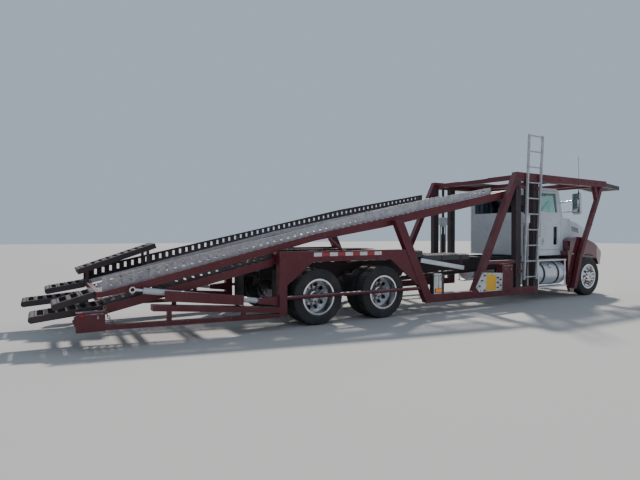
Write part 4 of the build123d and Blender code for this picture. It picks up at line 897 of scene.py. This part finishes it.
for side, sign in sides:
    add_lamp(f"service_lamp_{side}", "truck", "side_boxes", 0.245, sign, 0.425, (0.15, 0.060), amber_lens)
    add_lamp(f"tail_side_lamp_{side}", "truck", "side_boxes", -5.845, sign, 0.460, (0.060, 0.022), red_lens)
    add_lamp(f"fender_lamp_{side}", "tilting_hood", "fenders", 4.70, sign, 1.030, (0.075, 0.030), clear_lens, 0.009)
    for number, across in enumerate((1.195, 1.245)):
        hit = touch("side_boxes", (-7.0, sign * across, 0.385), (1, 0, 0))
        add_round_lamp(f"tail_lamp_{side}_{number}", "truck", hit[0], (-1, 0, 0), 0.021, red_lens)
    nose = touch("grille_and_lamps", (8.0, sign * 0.89, 1.022), (-1, 0, 0))[0].x
    for kind, y, width, lens in (("headlamp", 0.865, 0.090, clear_lens), ("turn_lamp", 0.938, 0.046, amber_lens)):
        shape = bmesh.new()
        add_bar(shape, (nose + 0.002, sign * y, 1.0235), (0.014, width, 0.064), 0.006, segments=3)
        finish_piece(f"{kind}_lens_{side}", shape, lens, "tilting_hood")

# %% Build the valve panel
panel_y = -1.302
band_corners = ((1.530, 0.345), (1.835, 0.345), (1.825, 0.668), (1.540, 0.680))
knob_places = ((1.33, 0.45), (1.40, 0.56), (1.475, 0.66), (1.475, 0.36), (1.87, 0.40), (1.87, 0.50), (1.87, 0.60),
               (1.96, 0.44), (1.96, 0.56))
knob_profile = [(0, 0.017), (0.004, 0.017), (0.005, 0.008), (0.018, 0.007), (0.020, 0.013), (0.026, 0.0165),
                (0.033, 0.013), (0.036, 0.004)]
bolt_places = ((1.285, 0.43), (1.375, 0.355), (1.44, 0.70), (1.99, 0.355), (2.005, 0.67), (1.72, 0.69))
shape = bmesh.new()
add_plate(shape, [(x, panel_y + 0.001, z) for x, z in band_corners], (0, -0.0035, 0))
finish_piece("valve_panel_band", shape, amber_paint, "truck")
shape = bmesh.new()
for x, z in knob_places:
    add_turned(shape, (x, panel_y + 0.001, z), (0, -1, 0), knob_profile, 16)
finish_piece("valve_knobs", shape, cab_plastic, "truck")
panel_bolts = [((x, panel_y, z), (0, -1, 0)) for x, z in bolt_places]
add_fasteners("valve_panel_bolts", "truck", panel_bolts, nut_steel, 0.010, 0.008)

# %% [markdown]
# ## Cab hardware
# Doors have handles, grab rails and hinges. Mirrors have a bright glass in a dark frame, wipers rest
# at the foot of the windshield, and a whip aerial stands on the right mirror's bracket.


# %% Fit handles, rails, hinges and mirrors
def arc_rail(shape, foot_y, x, z_low, z_high, reach, sign, radius):
    """A grab rail: out from the skin, along it and back, with round bends."""
    bend = [(sign * reach * (1 - math.cos(a)), reach * math.sin(a)) for a in (math.pi / 2 * k / 5 for k in range(1, 6))]
    points = [(x, foot_y - sign * 0.002, z_low)] + [(x, foot_y + out, z_low + up) for out, up in bend]
    points += [(x, foot_y + out, z_high - up) for out, up in bend[::-1]] + [(x, foot_y - sign * 0.002, z_high)]
    add_tube(shape, points, radius, 12)
    flange = [(0, radius * 2.2), (0.006, radius * 2.2), (0.009, radius * 1.6), (0.010, radius)]
    for z in (z_low, z_high):
        add_turned(shape, (x, foot_y - sign * 0.001, z), (0, sign, 0), flange, 18)


lock_profile = [(0, 0.010), (0.006, 0.010), (0.007, 0.004)]
hinge_profile = [(0, 0.004), (0.002, 0.011), (0.088, 0.011), (0.090, 0.004)]
mirror_y, mirror_z = 1.315, 2.215
for side, sign in sides:
    door = f"cab_door_{side}"
    skin = from_side(f"door_{side}", 3.86, sign, 1.32)[0].y
    shape = bmesh.new()
    arc_rail(shape, skin, 3.690, 1.385, 2.255, 0.060, sign, 0.0125)
    finish_piece(f"grab_rail_{side}", shape, aluminium, door)
    shape = bmesh.new()
    add_bar(shape, (3.865, skin + sign * 0.004, 1.315), (0.075, 0.012, 0.175), 0.005, segments=3)
    add_bar(shape, (3.872, skin + sign * 0.022, 1.315), (0.030, 0.014, 0.125), 0.006, segments=3)
    for z in (1.262, 1.368):
        add_bar(shape, (3.872, skin + sign * 0.012, z), (0.026, 0.020, 0.018), 0.004)
    add_turned(shape, (3.865, skin + sign * 0.009, 1.232), (0, sign, 0), lock_profile, 16)
    finish_piece(f"door_handle_{side}", shape, plating, door)
    shape = bmesh.new()
    for z in (1.32, 1.74):
        add_turned(shape, (4.548, skin + sign * 0.004, z), (0, 0, 1), hinge_profile, 14)
        add_bar(shape, (4.505, skin + sign * 0.003, z + 0.045), (0.085, 0.007, 0.066), 0.002)
    finish_piece(f"door_hinges_{side}", shape, white_paint, door)
    back = touch("mirrors", (0.0, sign * 1.32, 2.25), (1, 0, 0))[0].x
    shape = bmesh.new()
    add_bar(shape, (back - 0.0015, sign * mirror_y, mirror_z), (0.006, 0.145, 0.385), 0.0025, segments=3)
    finish_piece(f"mirror_glass_{side}", shape, mirror_face, "truck")
    shape = bmesh.new()
    for y in (1.2355, 1.3945):
        add_bar(shape, (back - 0.002, sign * y, mirror_z), (0.012, 0.010, 0.422), 0.004)
    for z in (2.009, 2.421):
        add_bar(shape, (back - 0.002, sign * mirror_y, z), (0.012, 0.165, 0.010), 0.004)
    finish_piece(f"mirror_frame_{side}", shape, cab_plastic, "truck")
print("door skin at y =", round(skin, 3), "and mirror backs at x =", round(back, 3))

# %% Fit the wipers
glass_foot, glass_top = Vector((4.640, 0, 1.905)), Vector((4.470, 0, 2.520))
up_glass = (glass_top - glass_foot).normalized()
off_glass = Vector((up_glass.z, 0, -up_glass.x))


def by_glass(y, up, off):
    """A place by the windshield: across the truck, up the glass and off the line of its foot."""
    return glass_foot + Vector((0, y, 0)) + up_glass * up + off_glass * off


shape = bmesh.new()
for side, sign in sides:
    lift = (touch("cab_glass", by_glass(sign * 0.40, 0.30, 0.5), -off_glass)[0] - glass_foot).dot(off_glass) + 0.012
    foot, tip = by_glass(sign * 0.16, -0.01, 0.02), by_glass(sign * 0.46, 0.26, lift + 0.012)
    spindle = [(0, 0.020), (0.035, 0.020), (0.042, 0.014), (0.044, 0.004)]
    add_turned(shape, foot - off_glass * 0.03, off_glass, spindle, 16)
    add_tube(shape, [foot, foot.lerp(tip, 0.3) + off_glass * 0.008, tip], 0.005, 8)
    start, end = by_glass(sign * 0.24, 0.055, lift), by_glass(sign * 0.66, 0.46, lift)
    add_tube(shape, [start, start.lerp(end, 0.5) + off_glass * 0.004, end], 0.0065, 8)
finish_piece("wipers", shape, cab_plastic, "truck")
print("wiper blades stand off by", round(lift, 3))

# %% Fit the aerial, vents and latches
shape = bmesh.new()
foot = Vector((4.612, -1.352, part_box("mirrors")[1].z - 0.003))
whip_end = Vector((-0.006, 0, 0.83))
add_turned(shape, foot, (0, 0, 1), [(0, 0.016), (0.020, 0.016), (0.024, 0.010), (0.075, 0.009), (0.080, 0.005)], 16)
add_tube(shape, [foot + Vector(v) for v in ((0, 0, 0.07), (0.004, 0, 0.45), (-0.006, 0, 0.835))], 0.0042, 8)
add_turned(shape, foot + whip_end, (0, 0, 1), [(0, 0.0045), (0.004, 0.007), (0.010, 0.007), (0.014, 0.002)], 12)
finish_piece("aerial", shape, cab_plastic, "truck")

lean = Matrix.Rotation(math.radians(-9.5), 3, "Y").transposed()
for side, sign in sides:
    shape = bmesh.new()
    for k in range(5):
        x, z = 5.415 + k * 0.004, 1.668 - k * 0.026
        add_bar(shape, (x, from_side("hood", x, sign, z)[0].y + sign * 0.003, z), (0.300, 0.012, 0.011), 0.004, lean)
    finish_piece(f"hood_vent_{side}", shape, cab_plastic, "tilting_hood")
    shape = bmesh.new()
    skin = from_side("hood", 5.02, sign, 1.25)[0].y
    add_bar(shape, (5.02, skin + sign * 0.006, 1.25), (0.032, 0.016, 0.110), 0.006, segments=3)
    add_bar(shape, (5.02, skin + sign * 0.012, 1.285), (0.050, 0.018, 0.022), 0.006, segments=3)
    finish_piece(f"hood_latch_{side}", shape, cab_plastic, "tilting_hood")
print("aerial top:", round((foot + whip_end).z, 3))

# %% [markdown]
# ## Tanks, boxes, chain and small steelwork
# Straps hold the fuel tanks, and each has a filler cap. The boxes have lids with latches. A safety
# chain hangs by the ramp's hinge, and the masts carry a white block with two guide rods.

# %% Strap the tanks and close the boxes
tank_y, tank_z, tank_r = 0.890, 0.590, 0.275
strap_section = ((-0.032, -0.003), (-0.032, 0.003), (-0.029, 0.005), (0.029, 0.005), (0.032, 0.003), (0.032, -0.003))
cap_angle = math.radians(38)
filler_profile = [(0, 0.046), (0.020, 0.046), (0.022, 0.054), (0.040, 0.054), (0.045, 0.050), (0.046, 0.020)]
lid_edges = ((0.26, 0.705, 0.250, 0.012), (0.26, 0.560, 0.012, 0.300), (2.23, 0.835, 0.300, 0.012),
             (-5.745, 0.470, 0.300, 0.012))
latch_places = ((0.33, 0.640), (2.13, 0.760), (2.33, 0.760), (-5.66, 0.430))
for side, sign in sides:
    shape = bmesh.new()
    for x in (3.62, 4.14):
        rings = []
        for a in angles(56):
            out = Vector((0, math.cos(a), math.sin(a)))
            foot = Vector((x, sign * tank_y, tank_z)) + out * (tank_r + 0.002)
            rings.append([shape.verts.new(foot + Vector((dx, 0, 0)) + out * rise) for dx, rise in strap_section])
        skin_rings(shape, rings, closed=True)
    finish_piece(f"tank_straps_{side}", shape, flap_rubber, "truck")
    shape = bmesh.new()
    out = Vector((0, sign * math.cos(cap_angle), math.sin(cap_angle)))
    add_turned(shape, Vector((3.88, sign * tank_y, tank_z)) + out * (tank_r - 0.008), out, filler_profile, 20)
    finish_piece(f"filler_cap_{side}", shape, plating, "truck")
    shape = bmesh.new()
    for x, z, length, height in lid_edges:
        hit = from_side("side_boxes", x, sign, z)
        if hit:
            add_bar(shape, (x, hit[0].y + sign * 0.002, z), (length, 0.008, height), 0.003)
    for x, z in latch_places:
        hit = from_side("side_boxes", x, sign, z)
        if hit:
            add_bar(shape, (x, hit[0].y + sign * 0.006, z), (0.030, 0.014, 0.052), 0.004)
            pin = [(0, 0.009), (0.008, 0.009), (0.010, 0.004)]
            add_turned(shape, (x, hit[0].y + sign * 0.010, z + 0.012), (0, sign, 0), pin, 14)
    finish_piece(f"box_trim_{side}", shape, nut_steel, "truck")
print("latch places a side:", len(latch_places))


# %% Hang the chain
def add_link(shape, centre, along, across, length, width, wire):
    """One oval chain link."""
    along, across = Vector(along).normalized(), Vector(across).normalized()
    straight = (length - width) / 2
    points = []
    for a in angles(16):
        shift = straight if math.cos(a) > 0 else -straight
        points.append(Vector(centre) + along * (shift + width / 2 * math.cos(a)) + across * (width / 2 * math.sin(a)))
    add_tube(shape, points, wire, 8, closed=True)


chain_top, chain_low = Vector((-5.582, -1.225, 0.560)), Vector((-5.440, -1.225, 0.296))
sag = Vector((-0.020, 0, -0.018))
links = 9
shape = bmesh.new()
for k in range(links):
    share = (k + 0.5) / links
    here = chain_top.lerp(chain_low, share) + sag * math.sin(math.pi * share)
    slope = (chain_low - chain_top) + sag * math.pi * math.cos(math.pi * share)
    across = Vector((0, 1, 0)) if k % 2 else slope.cross(Vector((0, 1, 0)))
    add_link(shape, here, slope, across, 0.046, 0.030, 0.0052)
finish_piece("safety_chain", shape, nut_steel, "truck")
print("chain links:", links)

# %% Add the small steelwork
shape = bmesh.new()
leg_top, leg_foot = Vector((-2.125, -1.165, 1.425)), Vector((-1.885, -1.230, 1.215))
add_tube(shape, [leg_foot, leg_top], 0.026, 14)
add_bar(shape, leg_foot + Vector((0, 0, 0.006)), (0.110, 0.090, 0.016), 0.004)
finish_piece("deck_rest_leg", shape, red_paint, "truck")

mast_y = 1.23
for side, sign in sides:
    shape = bmesh.new()
    add_bar(shape, (2.8425, sign * mast_y, 1.84), (0.215, 0.105, 0.200), 0.010, segments=3)
    add_bar(shape, (2.8425, sign * mast_y, 1.715), (0.110, 0.110, 0.060), 0.006)
    finish_piece(f"mast_block_{side}", shape, white_paint, "truck")
    shape = bmesh.new()
    for x in (2.7550, 2.9300):
        add_tube(shape, [(x, sign * mast_y, 0.93), (x, sign * mast_y, 1.76)], 0.016, 14)
        add_turned(shape, (x, sign * mast_y, 0.900), (0, 0, 1), [(0, 0.026), (0.05, 0.026), (0.056, 0.018)], 16)
    finish_piece(f"mast_guide_rods_{side}", shape, cylinder_paint, "truck")

shape = bmesh.new()
plank_rear, plank_front = Vector((-0.058, -1.118, 1.000)), Vector((1.090, -1.118, 0.820))
plank = plank_front - plank_rear
plank_turn = Matrix.Rotation(math.atan2(-plank.z, plank.x), 3, "Y")
add_bar(shape, (plank_rear + plank_front) / 2, (plank.length, 0.026, 0.085), 0.004, plank_turn)
finish_piece("side_plank", shape, tank_metal, "truck")
shape = bmesh.new()
hanger_top = 1.075
for share in (0.06, 0.50, 0.94):
    foot = plank_rear.lerp(plank_front, share)
    if from_side("lower_deck_frame", foot.x, -1.0, 1.060):
        place = (foot.x, -1.109, (foot.z + hanger_top) / 2 - 0.02)
        add_bar(shape, place, (0.045, 0.010, hanger_top - foot.z + 0.06), 0.003)
finish_piece("plank_hangers", shape, dark_paint, "truck")
print("plank length:", round(plank.length, 3))

# %% [markdown]
# ## Padded seats
# The CAD seats are plain solids. Each pad starts a little smaller than its solid, is remeshed, and
# swells as cloth under a gentle pressure. Sewn channels are pressed in afterwards.


# %% Upholster the seats
def swell(pad, cap):
    """Swells a pad as cloth, by no more than cap at any point."""
    before = [v.co.copy() for v in pad.data.vertices]
    cloth = pad.modifiers.new("cloth", "CLOTH")
    cloth.settings.use_pressure = True
    cloth.settings.uniform_pressure_force = 4.0
    cloth.settings.effector_weights.gravity = 0.0
    for number in range(1, 21):
        bpy.context.scene.frame_set(number)
    swollen = made_plain(pad)
    bpy.context.scene.frame_set(1)
    for vertex, start in zip(swollen.vertices, before):
        move = vertex.co - start
        vertex.co = start + move * min(1.0, cap / max(move.length, 1e-9))
    pad.data = swollen


def near(value, places, width):
    """Close to 1 beside any of some places and 0 away from them."""
    return sum(math.exp(-((value - place) / width) ** 2) for place in places)


def swollen_pad(name, corners, half_width, middle_y, channels, cap=0.012):
    """A padded form from a side outline, swollen as cloth. channels are places along its height."""
    shape = bmesh.new()
    add_plate(shape, [(x, middle_y - half_width, z) for x, z in corners], (0, 2 * half_width, 0))
    bmesh.ops.bevel(shape, geom=list(shape.edges), offset=0.028, segments=3, profile=0.5, affect="EDGES")
    bmesh.ops.recalc_face_normals(shape, faces=shape.faces)
    mesh = bpy.data.meshes.new(name)
    shape.to_mesh(mesh)
    shape.free()
    pad = add_object(name, mesh)
    remesh = pad.modifiers.new("remesh", "REMESH")
    remesh.mode = "VOXEL"
    remesh.voxel_size = 0.009
    pad.data = made_plain(pad)
    swell(pad, cap)
    points = [v.co for v in pad.data.vertices]
    low, high = min(p.z for p in points), max(p.z for p in points)
    middle = sum(points, Vector()) / len(points)
    for vertex in pad.data.vertices:
        if high - low > 0.3:
            groove = near((vertex.co.z - low) / (high - low), channels, 0.022)
        else:
            groove = near((vertex.co.x - middle.x) / 0.2, channels, 0.07)
        seam = near(abs((vertex.co.y - middle_y) / half_width), (0.62,), 0.035)
        vertex.co += (middle - vertex.co).normalized() * (min(1.0, groove + seam) * 0.007)
    pad.data.shade_smooth()
    pad.data.materials.clear()
    pad.data.materials.append(seat_cloth)
    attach(pad, "truck")
    return pad


cushion_line = ((3.702, 1.332), (4.070, 1.332), (4.070, 1.440), (4.040, 1.452), (3.702, 1.446))
back_line = ((3.690, 1.400), (3.592, 2.040), (3.640, 2.066), (3.752, 1.500), (3.742, 1.470))
for side, sign in sides:
    swollen_pad(f"seat_cushion_{side}", cushion_line, 0.236, sign * 0.47, (-0.5, 0.0, 0.5))
    back = swollen_pad(f"seat_back_{side}", back_line, 0.218, sign * 0.47, (0.22, 0.42, 0.62, 0.82))
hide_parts("seats")
